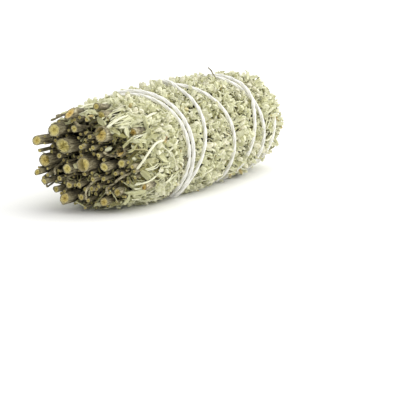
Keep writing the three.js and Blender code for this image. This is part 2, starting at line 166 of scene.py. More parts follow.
# How far each place on the bundle is from the thread, kept as a table over the whole surface.
def makeGapTable(rows=149, degrees=2.0, marksUp=260, marksDown=300):
    alongs = np.linspace(0, bundle["length"], rows)
    angles = np.arange(0, 360, degrees)
    marks = np.vstack([smoothWay(thread["wayUp"], marksUp), smoothWay(thread["wayDown"], marksDown)])
    nearest = np.full((len(alongs), len(angles)), 1.0)
    for turned, at in marks:
        across = np.radians(turnsApart(angles, turned))[None, :] * radiusAt(alongs)[:, None]
        nearest = np.minimum(nearest, np.hypot(alongs[:, None] - at, across))
    return nearest


gapTable = makeGapTable()


def threadGap(along, angle):
    rows, columns = gapTable.shape
    r = np.clip(along / bundle["length"], 0, 0.9999) * (rows - 1)
    c = np.mod(np.degrees(angle), 360) / 360 * columns
    r0, c0 = r.astype(int), c.astype(int) % columns
    r1, c1 = np.minimum(r0 + 1, rows - 1), (c0 + 1) % columns
    fr, fc = r - r0, c - np.floor(c)
    low = gapTable[r0, c0] * (1 - fc) + gapTable[r0, c1] * fc
    high = gapTable[r1, c0] * (1 - fc) + gapTable[r1, c1] * fc
    return low * (1 - fr) + high * fr


surface = {
    "heldWithin": (1.15 * mm, 3.3 * mm),    # fully held in nearer the thread than the first
    "pressed": 1.9 * mm,    # how far the thread holds the foliage in
    "lump": 0.5 * mm,    # how uneven the foliage is between the turns of thread
    "waves": [(3.1, 4, 0), (4.7, -3, 1.3), (2.3, 7, 0.4)],    # of that: mm along, how many round, shift
    "shoulder": 1.7 * mm,    # how much fuller the round end is on its upper front
    "shoulderAt": (102 * mm, 140),
    "shoulderReach": (6 * mm, 45),
    # hollows in the foliage: mm along, degrees round, mm across
    "hollows": [(9, 170, 2.3), (12, 186, 1.9), (14.5, 197, 1.7), (24, 144, 1.1), (16, 177, 1.5),
                (19, 206, 1.7), (7.5, 150, 1.6), (27, 199, 1.1), (73.5, 156, 1.2), (50, 173, 1.2),
                (11.5, 160, 1.5), (21, 188, 1.2), (14, 140, 1.1), (17, 160, 1.1), (29, 176, 0.9),
                (61, 160, 0.9), (83, 150, 0.9)],
    "hollowDepth": 2.4 * mm,
    "hollowShade": 0.8,    # how much darker painted shade makes the leaves in them
    "meanRadius": 17 * mm,
    "leastRadius": 7 * mm,    # near the tip, copies are bent round no tighter than this
    "nearAxis": 0.2 * mm,    # no point on the surface comes nearer the axis than this
    "heldHeight": 0.35,    # how high a leaf held down by the thread still stands, as a share
    "floorGap": 0.04 * mm,
    "floorSteps": (0.37, 3),    # points on the floor lie at slightly different heights
    "inside": 14.7 * mm,    # how far from the axis loose bits inside may reach
}


def freedom(along, angle):
    near, far = surface["heldWithin"]
    t = np.clip((threadGap(along, angle) - near) / (far - near), 0, 1)
    return t * t * (3 - 2 * t)


def lumps(along, angle):
    a = along / mm
    waves = sum(np.sin(a / length + often * angle + shift) for length, often, shift in surface["waves"])
    (alongAt, turnAt), (alongReach, turnReach) = surface["shoulderAt"], surface["shoulderReach"]
    far = ((along - alongAt) / alongReach) ** 2 + (turnsApart(np.degrees(angle), turnAt) / turnReach) ** 2
    return surface["lump"] * waves / 2 + surface["shoulder"] * np.exp(-far)


# How deep in a hollow a place is, from 0 to 1.
def hollow(along, angle):
    sunk = 0
    for at, turn, reach in surface["hollows"]:
        across = np.radians(turnsApart(np.degrees(angle), turn)) * surface["meanRadius"]
        sunk = sunk + np.exp(-((along - at * mm) ** 2 + across**2) / (reach * mm) ** 2)
    return np.minimum(sunk, 1)


# Lays points given as (forward, sideways, out) round a place on the bundle, pressed down by the thread
# and flattened on the floor.
def laidOn(along, angle, lift, local):
    at = along[:, None] + local[..., 0]
    past = np.maximum(at - bundle["length"], 0)
    at = np.minimum(at, bundle["length"])
    turn = angle[:, None] + local[..., 1] / np.maximum(radiusAt(at), surface["leastRadius"])
    free = freedom(at, turn)
    held = surface["heldHeight"]
    out = lumps(at, turn) * free - surface["hollowDepth"] * hollow(at, turn)
    out += (lift[:, None] + local[..., 2]) * (held + (1 - held) * free) - surface["pressed"] * (1 - free)
    place = onBundle(at, turn, np.maximum(radiusAt(at) + out, surface["nearAxis"]))
    place[..., 0] += past
    step, spread = surface["floorSteps"]
    floor = surface["floorGap"] * (1 + spread * np.mod(np.arange(place.shape[1]) * step, 1))
    place[..., 2] = np.maximum(place[..., 2], floor)
    return place


# Lays points round places inside the bundle, given as along, across and up from its axis, and keeps
# them inside its foliage.
def laidIn(along, across, up, local):
    across, up = across[:, None] + local[..., 1], up[:, None] + local[..., 2]
    keep = np.minimum(1, surface["inside"] / np.maximum(np.hypot(across, up), 0.1 * mm))
    place = fromCross(along[:, None] + local[..., 0], across * keep, up * keep)
    place[..., 2] = np.maximum(place[..., 2], surface["floorGap"])
    return place


# Masters: each small shape is modelled once and copied.

def deselectAll():
    if bpy.context.mode != "OBJECT":
        bpy.ops.object.mode_set(mode="OBJECT")
    bpy.ops.object.select_all(action="DESELECT")


def extrudeTo(forward, rise=0.0, width=1.0, height=1.0):
    bpy.ops.mesh.extrude_region_move(TRANSFORM_OT_translate={"value": (forward, 0, rise)})
    bpy.ops.transform.resize(value=(1, width, height))


def openMaster(sides, width, height):
    deselectAll()
    bpy.ops.mesh.primitive_circle_add(vertices=sides, radius=0.5, fill_type="NGON",
                                      rotation=(0, math.pi / 2, 0))
    piece = bpy.context.object
    bpy.ops.object.transform_apply(location=True, rotation=True, scale=True)
    bpy.ops.object.mode_set(mode="EDIT")
    bpy.ops.mesh.select_mode(type="FACE")
    bpy.ops.mesh.select_all(action="SELECT")
    bpy.ops.transform.resize(value=(1, width, height))
    return piece


# Triangles and normals put right, the shape read into arrays, and the model taken away again.
def closeMaster(piece):
    if bpy.context.mode != "EDIT_MESH":
        bpy.ops.object.mode_set(mode="EDIT")
    bpy.ops.mesh.select_all(action="SELECT")
    bpy.ops.mesh.remove_doubles(threshold=1e-5)
    bpy.ops.mesh.normals_make_consistent(inside=False)
    bpy.ops.mesh.quads_convert_to_tris(quad_method="BEAUTY", ngon_method="BEAUTY")
    bpy.ops.object.mode_set(mode="OBJECT")
    points = np.array([v.co for v in piece.data.vertices])
    faces = np.array([tuple(f.vertices) for f in piece.data.polygons])
    bpy.data.objects.remove(piece)
    return {"points": points, "faces": faces}


# A small leaf dried into a narrow keeled blade, its tip curled over.
curledLeaf = {
    "sides": 4,
    "root": (0.2, 0.08),    # its width and its thickness there, as shares of its length
    "steps": [(0.2, 0.09, 2.2), (0.24, -0.05, 1.3), (0.28, 0.11, 0.8), (0.18, -0.05, 0.6)],
    "tip": (0.05, -0.06),
    "tipSize": (0.3, 0.5),
    "cup": 1.9,    # how far its edges turn up
}

# A round-tipped small leaf dried into a scoop.
scoopLeaf = {
    "sides": 6,
    "root": (0.3, 0.1),
    "steps": [(0.2, -0.05, 2.2), (0.3, 0.1, 1.2), (0.3, 0.1, 0.78)],
    "tip": (0.12, 0.14),
    "tipSize": (0.3, 0.5),
    "cup": 1.3,
}


def modelSmallLeaf(s):
    piece = openMaster(s["sides"], *s["root"])
    for forward, rise, width in s["steps"]:
        extrudeTo(forward, rise, width)
    extrudeTo(*s["tip"], *s["tipSize"])
    bpy.ops.object.mode_set(mode="OBJECT")
    for v in piece.data.vertices:
        v.co.z += s["cup"] * v.co.y**2
    return closeMaster(piece)


# A tight flower head of overlapping bracts.
flowerHead = {
    "segments": 8,
    "rings": 5,
    "width": 0.78,
    "taper": 0.3,    # how much thinner it is at its tip
    "bract": 0.12,    # how far every other bract stands out, and its neighbours lie in
    "step": 0.06,
}


def modelFlowerHead():
    s = flowerHead
    deselectAll()
    bpy.ops.mesh.primitive_uv_sphere_add(segments=s["segments"], ring_count=s["rings"], radius=0.5,
                                         rotation=(0, math.pi / 2, 0))
    piece = bpy.context.object
    bpy.ops.object.transform_apply(location=True, rotation=True, scale=True)
    for v in piece.data.vertices:
        share = v.co.x + 0.5
        ring = round(share * s["rings"])
        side = round(math.atan2(v.co.z, v.co.y) / (2 * math.pi) * s["segments"])
        isOut = (ring + side) % 2 == 1
        grow = s["width"] * (1 - s["taper"] * share) * (1 + (s["bract"] if isOut else -s["bract"]))
        v.co = (share + (s["step"] if isOut else 0), v.co.y * grow, v.co.z * grow)
    return closeMaster(piece)


# A whole leaf: a long wedge with three blunt lobes at its tip and ribs down its length.
wedgeLeaf = {
    "across": 6,
    "alongIt": 7,
    "thickness": 0.03,
    "narrow": 0.16,    # its width at the root, as a share of the widest
    "widens": (1.25, 1.5),    # how fast it gets to the widest, and how slowly it starts
    "tip": 0.99,    # from this share of its length on, a point is at the tip
    "drawnBack": 0.06,
    "lobes": [0.9, 0.98, 0.86, 1.0, 0.87, 0.97, 0.9],    # how far forward each line of points reaches
    "rim": 1.12,    # how much farther out the outermost lines are
    "ribs": 0.045,
    "cup": 0.5,
    "wave": (0.05, 4.5),    # how high it waves down its length, and how often
}


def modelWedgeLeaf():
    s = wedgeLeaf
    deselectAll()
    bpy.ops.mesh.primitive_grid_add(x_subdivisions=s["alongIt"], y_subdivisions=s["across"], size=1)
    piece = bpy.context.object
    for v in piece.data.vertices:
        u, line = v.co.x + 0.5, round((v.co.y + 0.5) * s["across"])
        spread = s["narrow"] + (1 - s["narrow"]) * min(1, u * s["widens"][0]) ** s["widens"][1]
        isTip = u > s["tip"]
        v.co.y *= spread * (s["rim"] if line in (0, s["across"]) and not isTip else 1)
        v.co.x = u * (s["lobes"][line] if isTip else 1 - s["drawnBack"] * u)
        v.co.z = s["ribs"] * (line % 2) + s["cup"] * v.co.y**2 + s["wave"][0] * math.sin(s["wave"][1] * u)
    thickness = piece.modifiers.new("thickness", "SOLIDIFY")
    thickness.thickness = s["thickness"]
    thickness.offset = 0
    bpy.ops.object.modifier_apply(modifier=thickness.name)
    return closeMaster(piece)


# A leaf stalk or midrib, dried pale, long and slightly bowed.
stalk = {
    "sides": 5,
    "width": 1.0,
    "steps": 7,
    "bow": 0.22,
    "thickens": (2, 1.03, 0.93),    # up to this step it widens by the first, then narrows by the second
}


def modelStalk():
    s = stalk
    piece = openMaster(s["sides"], s["width"], s["width"])
    for k in range(s["steps"]):
        rise = s["bow"] * math.cos(math.pi * (k + 0.5) / s["steps"])
        until, wider, narrower = s["thickens"]
        extrudeTo(1 / s["steps"], rise, narrower if k > until else wider, narrower)
    return closeMaster(piece)


masters = {
    "curl": modelSmallLeaf(curledLeaf),
    "scoop": modelSmallLeaf(scoopLeaf),
    "head": modelFlowerHead(),
    "wedge": modelWedgeLeaf(),
    "stalk": modelStalk(),
}
for key, master in masters.items():
    print("modelled", key, len(master["faces"]), "faces")


# How dark a leaf is goes by how deep it lies, as painted shade: full colour from "lit" outwards, darkest
# "reach" under that.
shading = {"lit": -0.1 * mm, "reach": 2.5 * mm}


# Turns by three angles, one set for each copy: yaw on the surface, pitch out of it, roll about its length.
def turned(yaw, pitch, roll):
    cy, sy, cp, sp, cr, sr = (f(v) for v in (yaw, pitch, roll) for f in (np.cos, np.sin))
    rows = [[cy * cp, -sy * cr - cy * sp * sr, sy * sr - cy * sp * cr],
            [sy * cp, cy * cr - sy * sp * sr, -cy * sr - sy * sp * cr],
            [sp, cp * sr, cp * cr]]
    return np.moveaxis(np.array(rows), -1, 0)


# Many copies of one master at once, from arrays that hold a value for each copy.
def copiesOf(master, copies):
    size = np.stack(np.broadcast_arrays(copies["length"], copies["width"], copies["height"]), axis=-1)
    local = master["points"][None] * size[:, None, :]
    local = np.einsum("nij,nvj->nvi", turned(copies["yaw"], copies["pitch"], copies["roll"]), local)
    if "across" in copies:
        placed = laidIn(copies["along"], copies["across"], copies["up"], local)
    else:
        placed = laidOn(copies["along"], copies["angle"], copies["lift"], local)
    count, points = placed.shape[:2]
    faces = master["faces"][None] + (np.arange(count) * points)[:, None, None]
    # Depth darkens each copy as painted shade: given, or from how deep it lies, and more in the hollows.
    if "depth" in copies:
        depth = np.broadcast_to(copies["depth"][:, None], (count, points))
    else:
        height = local[..., 2] + copies["lift"][:, None]
        depth = np.clip(1 + (height - shading["lit"]) / shading["reach"], 0, 1)
    if "angle" in copies:
        depth = depth * (1 - surface["hollowShade"] * hollow(copies["along"], copies["angle"]))[:, None]
    across = np.broadcast_to(master["points"][None, :, 1], (count, points))
    lengthwise = np.broadcast_to(master["points"][None, :, 0], (count, points))
    tone = np.broadcast_to(copies["tone"][:, None], (count, points))
    return {"points": placed.reshape(-1, 3), "faces": faces.reshape(-1, 3), "tone": tone.ravel(),
            "place": np.stack([lengthwise, across, depth], axis=-1).reshape(-1, 3)}


def joinParts(parts):
    faces, start = [], 0
    for part in parts:
        faces.append(part["faces"] + start)
        start += len(part["points"])
    joined = {key: np.concatenate([part[key] for part in parts]) for key in ("points", "tone", "place")}
    return {"faces": np.concatenate(faces), **joined}


# A finished piece from arrays: its place is in its mesh, and it rides on the one body.
def makePiece(name, part, materials, replaced=None, faceMaterial=None, isSmooth=True):
    mesh = bpy.data.meshes.new(name)
    points, faces = part["points"], part["faces"]
    mesh.vertices.add(len(points))
    mesh.vertices.foreach_set("co", points.astype(np.float32).ravel())
    mesh.loops.add(faces.size)
    mesh.loops.foreach_set("vertex_index", faces.astype(np.int32).ravel())
    mesh.polygons.add(len(faces))
    mesh.polygons.foreach_set("loop_start", np.arange(len(faces), dtype=np.int32) * 3)
    smooth = np.full(len(faces), isSmooth) if faceMaterial is None else ~faceMaterial
    mesh.polygons.foreach_set("use_smooth", smooth)
    if faceMaterial is not None:
        mesh.polygons.foreach_set("material_index", faceMaterial.astype(np.int32))
    mesh.update(calc_edges=True)
    mesh.validate()
    tone = mesh.attributes.new("leafTone", "FLOAT", "POINT")
    tone.data.foreach_set("value", part["tone"].astype(np.float32))
    place = mesh.attributes.new("leafPlace", "FLOAT_VECTOR", "POINT")
    place.data.foreach_set("vector", part["place"].astype(np.float32).ravel())
    for material in materials:
        mesh.materials.append(material)
    piece = bpy.data.objects.new(name, mesh)
    bpy.context.scene.collection.objects.link(piece)
    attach(piece, "root")
    if replaced:
        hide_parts(replaced)
    return piece


# Materials

def linear(hexColour):
    channels = [int(hexColour[i:i + 2], 16) / 255 for i in (1, 3, 5)]
    return (*[c / 12.92 if c <= 0.04045 else ((c + 0.055) / 1.055) ** 2.4 for c in channels], 1)


# Adds one node: settings are its sockets or its own properties, and links say what feeds a socket, a
# node standing for its first output.
def addNode(tree, kind, settings=None, links=None):
    node = tree.nodes.new("ShaderNode" + kind)
    for key, value in (settings or {}).items():
        if key == "ramp":
            stops = node.color_ramp.elements
            while len(stops) < len(value):
                stops.new(0.5)
            for stop, (at, colour) in zip(stops, value):
                stop.position = at
                stop.color = linear(colour)
        elif isinstance(key, int) or key in node.inputs:
            node.inputs[key].default_value = value
        else:
            setattr(node, key, value)
    for socket, source in (links or {}).items():
        isSocket = isinstance(source, bpy.types.NodeSocket)
        tree.links.new(source if isSocket else source.outputs[0], node.inputs[socket])
    return node


def newMaterial(name):
    material = bpy.data.materials.new(name)
    material.use_nodes = True
    material.node_tree.nodes.clear()
    return material, material.node_tree


# Dried sagebrush leaf: downy, so quite matt with a soft pale edge; silver-green going cream and
# straw-yellow with age, and brown-olive deep between the leaves: partly where the down has rubbed off, partly
# painted shade.
def driedLeafMaterial():
    material, tree = newMaterial("driedSagebrushLeaf")
    tone = addNode(tree, "Attribute", {"attribute_name": "leafTone"})
    place = addNode(tree, "Attribute", {"attribute_name": "leafPlace"})
    axes = addNode(tree, "SeparateXYZ", links={0: place.outputs["Vector"]})
    coords = addNode(tree, "TexCoord")
    mottle = addNode(tree, "TexNoise", {"Scale": 1 / (1.3 * mm), "Detail": 4.0, "Roughness": 0.65},
                     {"Vector": coords.outputs["Object"]})
    shift = addNode(tree, "Math", {"operation": "MULTIPLY_ADD", 1: 0.3, 2: -0.15}, {0: mottle})
    aged = addNode(tree, "Math", {"operation": "ADD"}, {0: tone.outputs["Fac"], 1: shift})
    age = addNode(tree, "ValToRGB", {"ramp": [
        (0.0, "#4f4927"), (0.16, "#938f60"), (0.34, "#c8c79a"), (0.52, "#dcdcb7"), (0.68, "#e2e1c3"),
        (0.8, "#e8e5cd"), (0.88, "#dad3a1"), (0.95, "#bca86e"), (1.0, "#86683a")]}, {0: aged})
    # The depth kept in leafPlace darkens the colour: painted shade, with some real browning deep in.
    deep = addNode(tree, "ValToRGB", {"ramp": [
        (0.0, "#28230f"), (0.26, "#857c48"), (0.5, "#dad6b4"), (0.74, "#ffffff")]}, {0: axes.outputs["Z"]})
    shaded = addNode(tree, "VectorMath", {"operation": "MULTIPLY"}, {0: age, 1: deep})
    veinAngle = addNode(tree, "Math", {"operation": "MULTIPLY", 1: 40.0}, {0: axes.outputs["Y"]})
    vein = addNode(tree, "Math", {"operation": "SINE"}, {0: veinAngle})
    down = addNode(tree, "TexNoise", {"Scale": 1 / (0.22 * mm), "Detail": 2.0},
                   {"Vector": coords.outputs["Object"]})
    relief = addNode(tree, "Math", {"operation": "MULTIPLY_ADD", 1: 0.35}, {0: vein, 2: down})
    bump = addNode(tree, "Bump", {"Strength": 0.5, "Distance": 0.12 * mm}, {"Height": relief})
    shader = addNode(tree, "BsdfPrincipled",
                     {"Roughness": 0.82, "IOR": 1.45, "Sheen Weight": 0.25, "Sheen Roughness": 0.5},
                     {"Base Color": shaded, "Normal": bump})
    addNode(tree, "OutputMaterial", links={"Surface": shader})
    return material


# Weathered twig bark: stringy grey-brown strips with dark fissures along the twig, fully matt, pale
# at its end and darker farther in as painted shade between the stems.
def barkMaterial():
    material, tree = newMaterial("weatheredTwigBark")
    coords = addNode(tree, "TexCoord")
    stretched = addNode(tree, "Mapping", {"Scale": (0.16, 1, 1)}, {0: coords.outputs["Object"]})
    strips = addNode(tree, "TexNoise", {"Scale": 1 / (0.5 * mm), "Detail": 5.0, "Roughness": 0.7},
                     {"Vector": stretched})
    patches = addNode(tree, "TexNoise", {"Scale": 1 / (3.5 * mm), "Detail": 2.0},
                      {"Vector": coords.outputs["Object"]})
    blend = addNode(tree, "Math", {"operation": "MULTIPLY_ADD", 1: 0.45}, {0: patches, 2: strips})
    colour = addNode(tree, "ValToRGB", {"ramp": [
        (0.46, "#231d10"), (0.58, "#4d4531"), (0.7, "#776f55"), (0.8, "#989073"), (0.94, "#c2bb9c")]},
        {0: blend})
    # leafTone scales the colour; on cut stems and twigs it is painted shade, darker farther from the cut.
    tone = addNode(tree, "Attribute", {"attribute_name": "leafTone"})
    shaded = addNode(tree, "VectorMath", {"operation": "SCALE"}, {0: colour, "Scale": tone.outputs["Fac"]})
    bump = addNode(tree, "Bump", {"Strength": 0.9, "Distance": 0.22 * mm}, {"Height": strips})
    shader = addNode(tree, "BsdfPrincipled", {"Roughness": 0.88, "IOR": 1.5},
                     {"Base Color": shaded, "Normal": bump})
    addNode(tree, "OutputMaterial", links={"Surface": shader})
    return material


# Cut sagebrush wood: greenish-yellow end grain, ochre in some, with a small brown pith and open pores,
# chalky where it was cut.
def cutWoodMaterial():
    material, tree = newMaterial("cutTwigWood")
    place = addNode(tree, "Attribute", {"attribute_name": "leafPlace"})
    tone = addNode(tree, "Attribute", {"attribute_name": "leafTone"})
    axes = addNode(tree, "SeparateXYZ", links={0: place.outputs["Vector"]})
    across = addNode(tree, "CombineXYZ", links={0: axes.outputs["X"], 1: axes.outputs["Y"]})
    coords = addNode(tree, "TexCoord")
    fibre = addNode(tree, "TexNoise", {"Scale": 1 / (0.5 * mm), "Detail": 4.0, "Roughness": 0.7},
                    {"Vector": coords.outputs["Object"]})
    pores = addNode(tree, "TexNoise", {"Scale": 1 / (0.24 * mm), "Detail": 1.0},
                    {"Vector": coords.outputs["Object"]})
    distance = addNode(tree, "VectorMath", {"operation": "LENGTH"}, {0: across.outputs["Vector"]})
    shifted = addNode(tree, "Math", {"operation": "MULTIPLY_ADD", 1: 0.35},
                      {0: fibre, 2: distance.outputs["Value"]})
    fresh = addNode(tree, "ValToRGB", {"ramp": [
        (0.12, "#86783f"), (0.26, "#b5a860"), (0.42, "#d3c673"), (0.8, "#dbd088"), (1.0, "#c6bd88")]},
        {0: shifted})
    aged = addNode(tree, "ValToRGB", {"ramp": [
        (0.12, "#7c5b22"), (0.3, "#bd933f"), (0.5, "#d6b055"), (0.8, "#dec377"), (1.0, "#c6ae77")]},
        {0: shifted})
    core = addNode(tree, "Mix", {"data_type": "RGBA"}, {0: axes.outputs["Z"], 6: fresh, 7: aged})
    fibreRange = addNode(tree, "MapRange",
                         {"From Min": 0.3, "From Max": 0.7, "To Min": 0.72, "To Max": 1.14},
                         {"Value": fibre})
    poreRange = addNode(tree, "MapRange",
                        {"From Min": 0.56, "From Max": 0.68, "To Min": 1.0, "To Max": 0.6},
                        {"Value": pores})
    both = addNode(tree, "Math", {"operation": "MULTIPLY"}, {0: poreRange, 1: fibreRange})
    # leafTone: a random tone, with sunk parts of the cut painted darker as shade.
    toned = addNode(tree, "Math", {"operation": "MULTIPLY"}, {0: both, 1: tone.outputs["Fac"]})
    grained = addNode(tree, "VectorMath", {"operation": "SCALE"}, {0: core.outputs[2], "Scale": toned})
    bump = addNode(tree, "Bump", {"Strength": 0.7, "Distance": 0.15 * mm}, {"Height": both})
    shader = addNode(tree, "BsdfPrincipled", {"Roughness": 0.8, "IOR": 1.5},
                     {"Base Color": grained, "Normal": bump})
    addNode(tree, "OutputMaterial", links={"Surface": shader})
    return material


# Soft mercerised cotton: near white, matt, with the fine lines of its fibres along each ply.
def cottonMaterial():
    material, tree = newMaterial("twistedCotton")
    place = addNode(tree, "Attribute", {"attribute_name": "leafPlace"})
    coords = addNode(tree, "TexCoord")
    squeezed = addNode(tree, "Mapping", {"Scale": (0.5, 9, 9)}, {0: place.outputs["Vector"]})
    fibres = addNode(tree, "TexNoise", {"Scale": 1.6, "Detail": 3.0}, {"Vector": squeezed})
    fuzz = addNode(tree, "TexNoise", {"Scale": 1 / (0.3 * mm), "Detail": 3.0},
                   {"Vector": coords.outputs["Object"]})
    colour = addNode(tree, "ValToRGB", {"ramp": [(0.3, "#d9d7cd"), (0.5, "#efeee8"), (0.7, "#fbfaf6")]},
                     {0: fibres})
    height = addNode(tree, "Math", {"operation": "MULTIPLY_ADD", 1: 0.5}, {0: fuzz, 2: fibres})
    bump = addNode(tree, "Bump", {"Strength": 0.5, "Distance": 0.1 * mm}, {"Height": height})
    shader = addNode(tree, "BsdfPrincipled",
                     {"Roughness": 0.75, "IOR": 1.5, "Sheen Weight": 0.4, "Sheen Roughness": 0.4},
                     {"Base Color": colour, "Normal": bump})
    addNode(tree, "OutputMaterial", links={"Surface": shader})
    return material


def floorMaterial():
    material, tree = newMaterial("palePaperFloor")
    coords = addNode(tree, "TexCoord")
    grain = addNode(tree, "TexNoise", {"Scale": 1 / (0.6 * mm)}, {"Vector": coords.outputs["Object"]})
    colour = addNode(tree, "ValToRGB", {"ramp": [(0.3, "#f4f4f2"), (0.7, "#f8f8f6")]}, {0: grain})
    shader = addNode(tree, "BsdfPrincipled", {"Roughness": 0.9}, {"Base Color": colour})
    addNode(tree, "OutputMaterial", links={"Surface": shader})
    return material


leafMatter = driedLeafMaterial()
bark = barkMaterial()
cutWood = cutWoodMaterial()
cotton = cottonMaterial()
print("materials made")


# Leafy sprays

def seam(i, along):
    straight = bundle["firstAngle"] + (i + 0.5) * 360 / bundle["sprays"]
    twist = bundle["twist"] * (along - bundle["midAlong"]) / bundle["end"]
    return np.radians(straight + twist)


def withinSpray(i, along, share):
    low, high = seam(i - 1, along), seam(i, along)
    return low + (high - low) * share


# Places for some copies, spread over spray i from a little before its foliage starts.
def scattered(rng, i, count, before, after):
    start = bundle["starts"][i] * mm + before
    along = start + (bundle["end"] + after - start) * rng.random(count)
    return along, withinSpray(i, along, rng.random(count))


# How brown, green or pale copies are, with a few gone straw-yellow.
toneRange = {"spread": 0.08, "least": 0.12, "most": 0.8, "straw": 0.015, "strawTone": (0.86, 0.98)}


def tones(rng, base, count):
    s = toneRange
    tone = np.clip(base + rng.normal(0, s["spread"], count), s["least"], s["most"])
    return np.where(rng.random(count) < s["straw"], rng.uniform(*s["strawTone"], count), tone)


# Turns for each copy, leaning out of the surface by a pitch within a range.
def swung(rng, count, s):
    return {"yaw": rng.normal(0, s["yaw"], count), "pitch": rng.uniform(*s["pitch"], count),
            "roll": rng.normal(0, s["roll"], count)}


# Turns for each copy, rolled any way.
anyRoll = (0, 6.3)


def tossed(rng, count, s):
    return {"yaw": rng.normal(0, s["yaw"], count), "pitch": rng.normal(0, s["pitch"], count),
            "roll": rng.uniform(*anyRoll, count)}


# Tufts: side shoots whose small leaves and flower heads stand in a low dome, set close together.
tuft = {
    "behind": 11.5 * mm,    # how far behind the start of the foliage the first ones are
    "apart": 3.7 * mm,
    "columns": 3,
    "shift": 0.45,    # how far a tuft is from its even place, as a share of the way to the next
    "size": (0.7, 1.25),
    "reach": 1.9 * mm,
    "root": -2.2 * mm,
    "dome": 0.7 * mm,    # how much higher its middle is
    "uneven": 0.3 * mm,
    "pitch": (1.25, 1.0, 0.22),    # in the middle, how much flatter at the rim, and how uneven
    "yaw": 0.5,
    "roll": 0.9,
    "tone": (0.56, 0.1),    # the middle, and how tufts differ
    "leastRadius": 4 * mm,
    "kinds": {
        "curl": {"each": 8, "length": (2.1, 3.9), "width": 0.5, "height": 1, "within": 1,
                 "rise": 0, "paler": 0},
        "scoop": {"each": 3, "length": (2.1, 3.9), "width": 0.62, "height": 1, "within": 1,
                  "rise": 0, "paler": 0},
        "head": {"each": 2, "length": (1.7, 2.9), "width": 0.9, "height": 0.9, "within": 0.75,
                 "rise": 0.8 * mm, "paler": 0.08},
    },
}


def tuftPlaces(rng, i):
    start = bundle["starts"][i] * mm + tuft["behind"]
    rows, columns = int((bundle["length"] - start) / tuft["apart"]), tuft["columns"]
    row, column = (v.ravel() for v in np.meshgrid(np.arange(rows), np.arange(columns), indexing="ij"))
    shift = rng.uniform(-1, 1, (2, len(row))) * tuft["shift"]
    along = start + (row + 0.5 + shift[0]) * tuft["apart"]
    share = (column + 0.5 + 0.5 * (row % 2 - 0.5) + shift[1]) / columns
    return along, withinSpray(i, along, share)


# Some leaves or heads round each tuft: upright in its middle, laid outwards at its rim.
def tuftCopies(rng, centres, tone, s):
    along, angle, size = (np.repeat(v, s["each"]) for v in centres)
    count = len(along)
    out = np.sqrt(rng.random(count)) * s["within"]
    turn = rng.uniform(0, 2 * math.pi, count)
    reach = tuft["reach"] * size * out
    length = rng.uniform(*s["length"], count) * mm * size**0.5
    middle, flatter, spread = tuft["pitch"]
    pitch = middle - flatter * out + rng.normal(0, spread, count)
    lift = tuft["root"] + (1 - out) * tuft["dome"] + rng.uniform(-1, 1, count) * tuft["uneven"] + s["rise"]
    around = np.maximum(radiusAt(along), tuft["leastRadius"])
    return {"along": along + reach * np.cos(turn), "angle": angle + reach * np.sin(turn) / around,
            "lift": lift, "yaw": turn + rng.normal(0, tuft["yaw"], count), "pitch": pitch,
            "roll": rng.normal(0, tuft["roll"], count), "length": length, "width": length * s["width"],
            "height": length * s["height"],
            "tone": tones(rng, np.repeat(tone + s["paler"], s["each"]), count)}


# Leaves that lie deeper, seen dark between the tufts, with a lower tone and darkened by their depth as
# painted shade.
under = {
    "count": 250,
    "ends": (9 * mm, 0.5 * mm),    # how far behind the start of the foliage, and how far past its end
    "length": (2.6, 5),
    "width": 0.5,
    "lift": (-3.2, -1.9),
    "yaw": 1.2,
    "pitch": (0, 0.5),
    "roll": 0.7,
    "tone": 0.36,
}


def underCopies(rng, i):
    count = under["count"]
    along, angle = scattered(rng, i, count, *under["ends"])
    length = rng.uniform(*under["length"], count) * mm
    return {"along": along, "angle": angle, "lift": rng.uniform(*under["lift"], count) * mm,
            **swung(rng, count, under), "length": length, "width": length * under["width"],
            "height": length, "tone": tones(rng, under["tone"], count)}


# Long narrow leaves pressed flat, lying along the bundle near the cut end, above all on top.
blade = {
    "counts": [20, 20, 24, 40, 60, 70, 60, 26, 18, 20],    # one for each spray
    "far": 8,    # and some elsewhere
    "farEnds": (14 * mm, -20 * mm),
    "span": 21,
    "crowd": 1.4,    # over 1, there are more of them nearer the cut end
    "length": (7, 17),
    "width": (0.9, 2.1),
    "height": 3.5 * mm,
    "lift": (-1.7, -0.5),
    "turns": (0.17, 0.02, 0.5),    # how much their yaw, pitch and roll differ
    # painted shade: tone and depth go down with how deep a blade lies
    "tone": (0.56, 0.1),    # on the surface, and how much darker a millimetre down
    "shade": (0.35, 0.4),    # how much more shaded a millimetre down, and the least light
}


def bladeCopies(rng, i):
    near = blade["counts"][i]
    count = near + blade["far"]
    along = (bundle["starts"][i] + rng.random(count) ** blade["crowd"] * blade["span"]) * mm
    along[near:], farAngle = scattered(rng, i, blade["far"], *blade["farEnds"])
    angle = withinSpray(i, along, rng.random(count))
    angle[near:] = farAngle
    length = rng.uniform(*blade["length"], count) * mm
    lift = rng.uniform(*blade["lift"], count)
    yaw, pitch, roll = (rng.normal(0, spread, count) for spread in blade["turns"])
    width = rng.uniform(*blade["width"], count) * mm
    (tone, darker), (shade, least) = blade["tone"], blade["shade"]
    return {"along": along, "angle": angle, "lift": lift * mm, "yaw": yaw, "pitch": pitch, "roll": roll,
            "length": length, "width": width, "height": np.full(count, blade["height"]),
            "tone": tones(rng, tone + darker * lift, count), "depth": np.clip(1 + shade * lift, least, 1)}


# Pale ribs, stalks and dried strings of leaf lying across the foliage.
rib = {
    "count": 84,
    "crowd": 1.15,
    "short": 6 * mm,    # how far before the end of the foliage the last one starts
    "length": (2.5, 8),
    "width": (0.26, 0.55),
    "lift": (-1.1, 0.2),
    "yaw": (0.9, 0.25, 25 * mm),    # how much it differs, what share of that at the collar, full from here
    "pitch": (-0.01, 0.07),
    "roll": 0.8,
    "tone": 0.62,
    "depth": (0.72, 1),
}


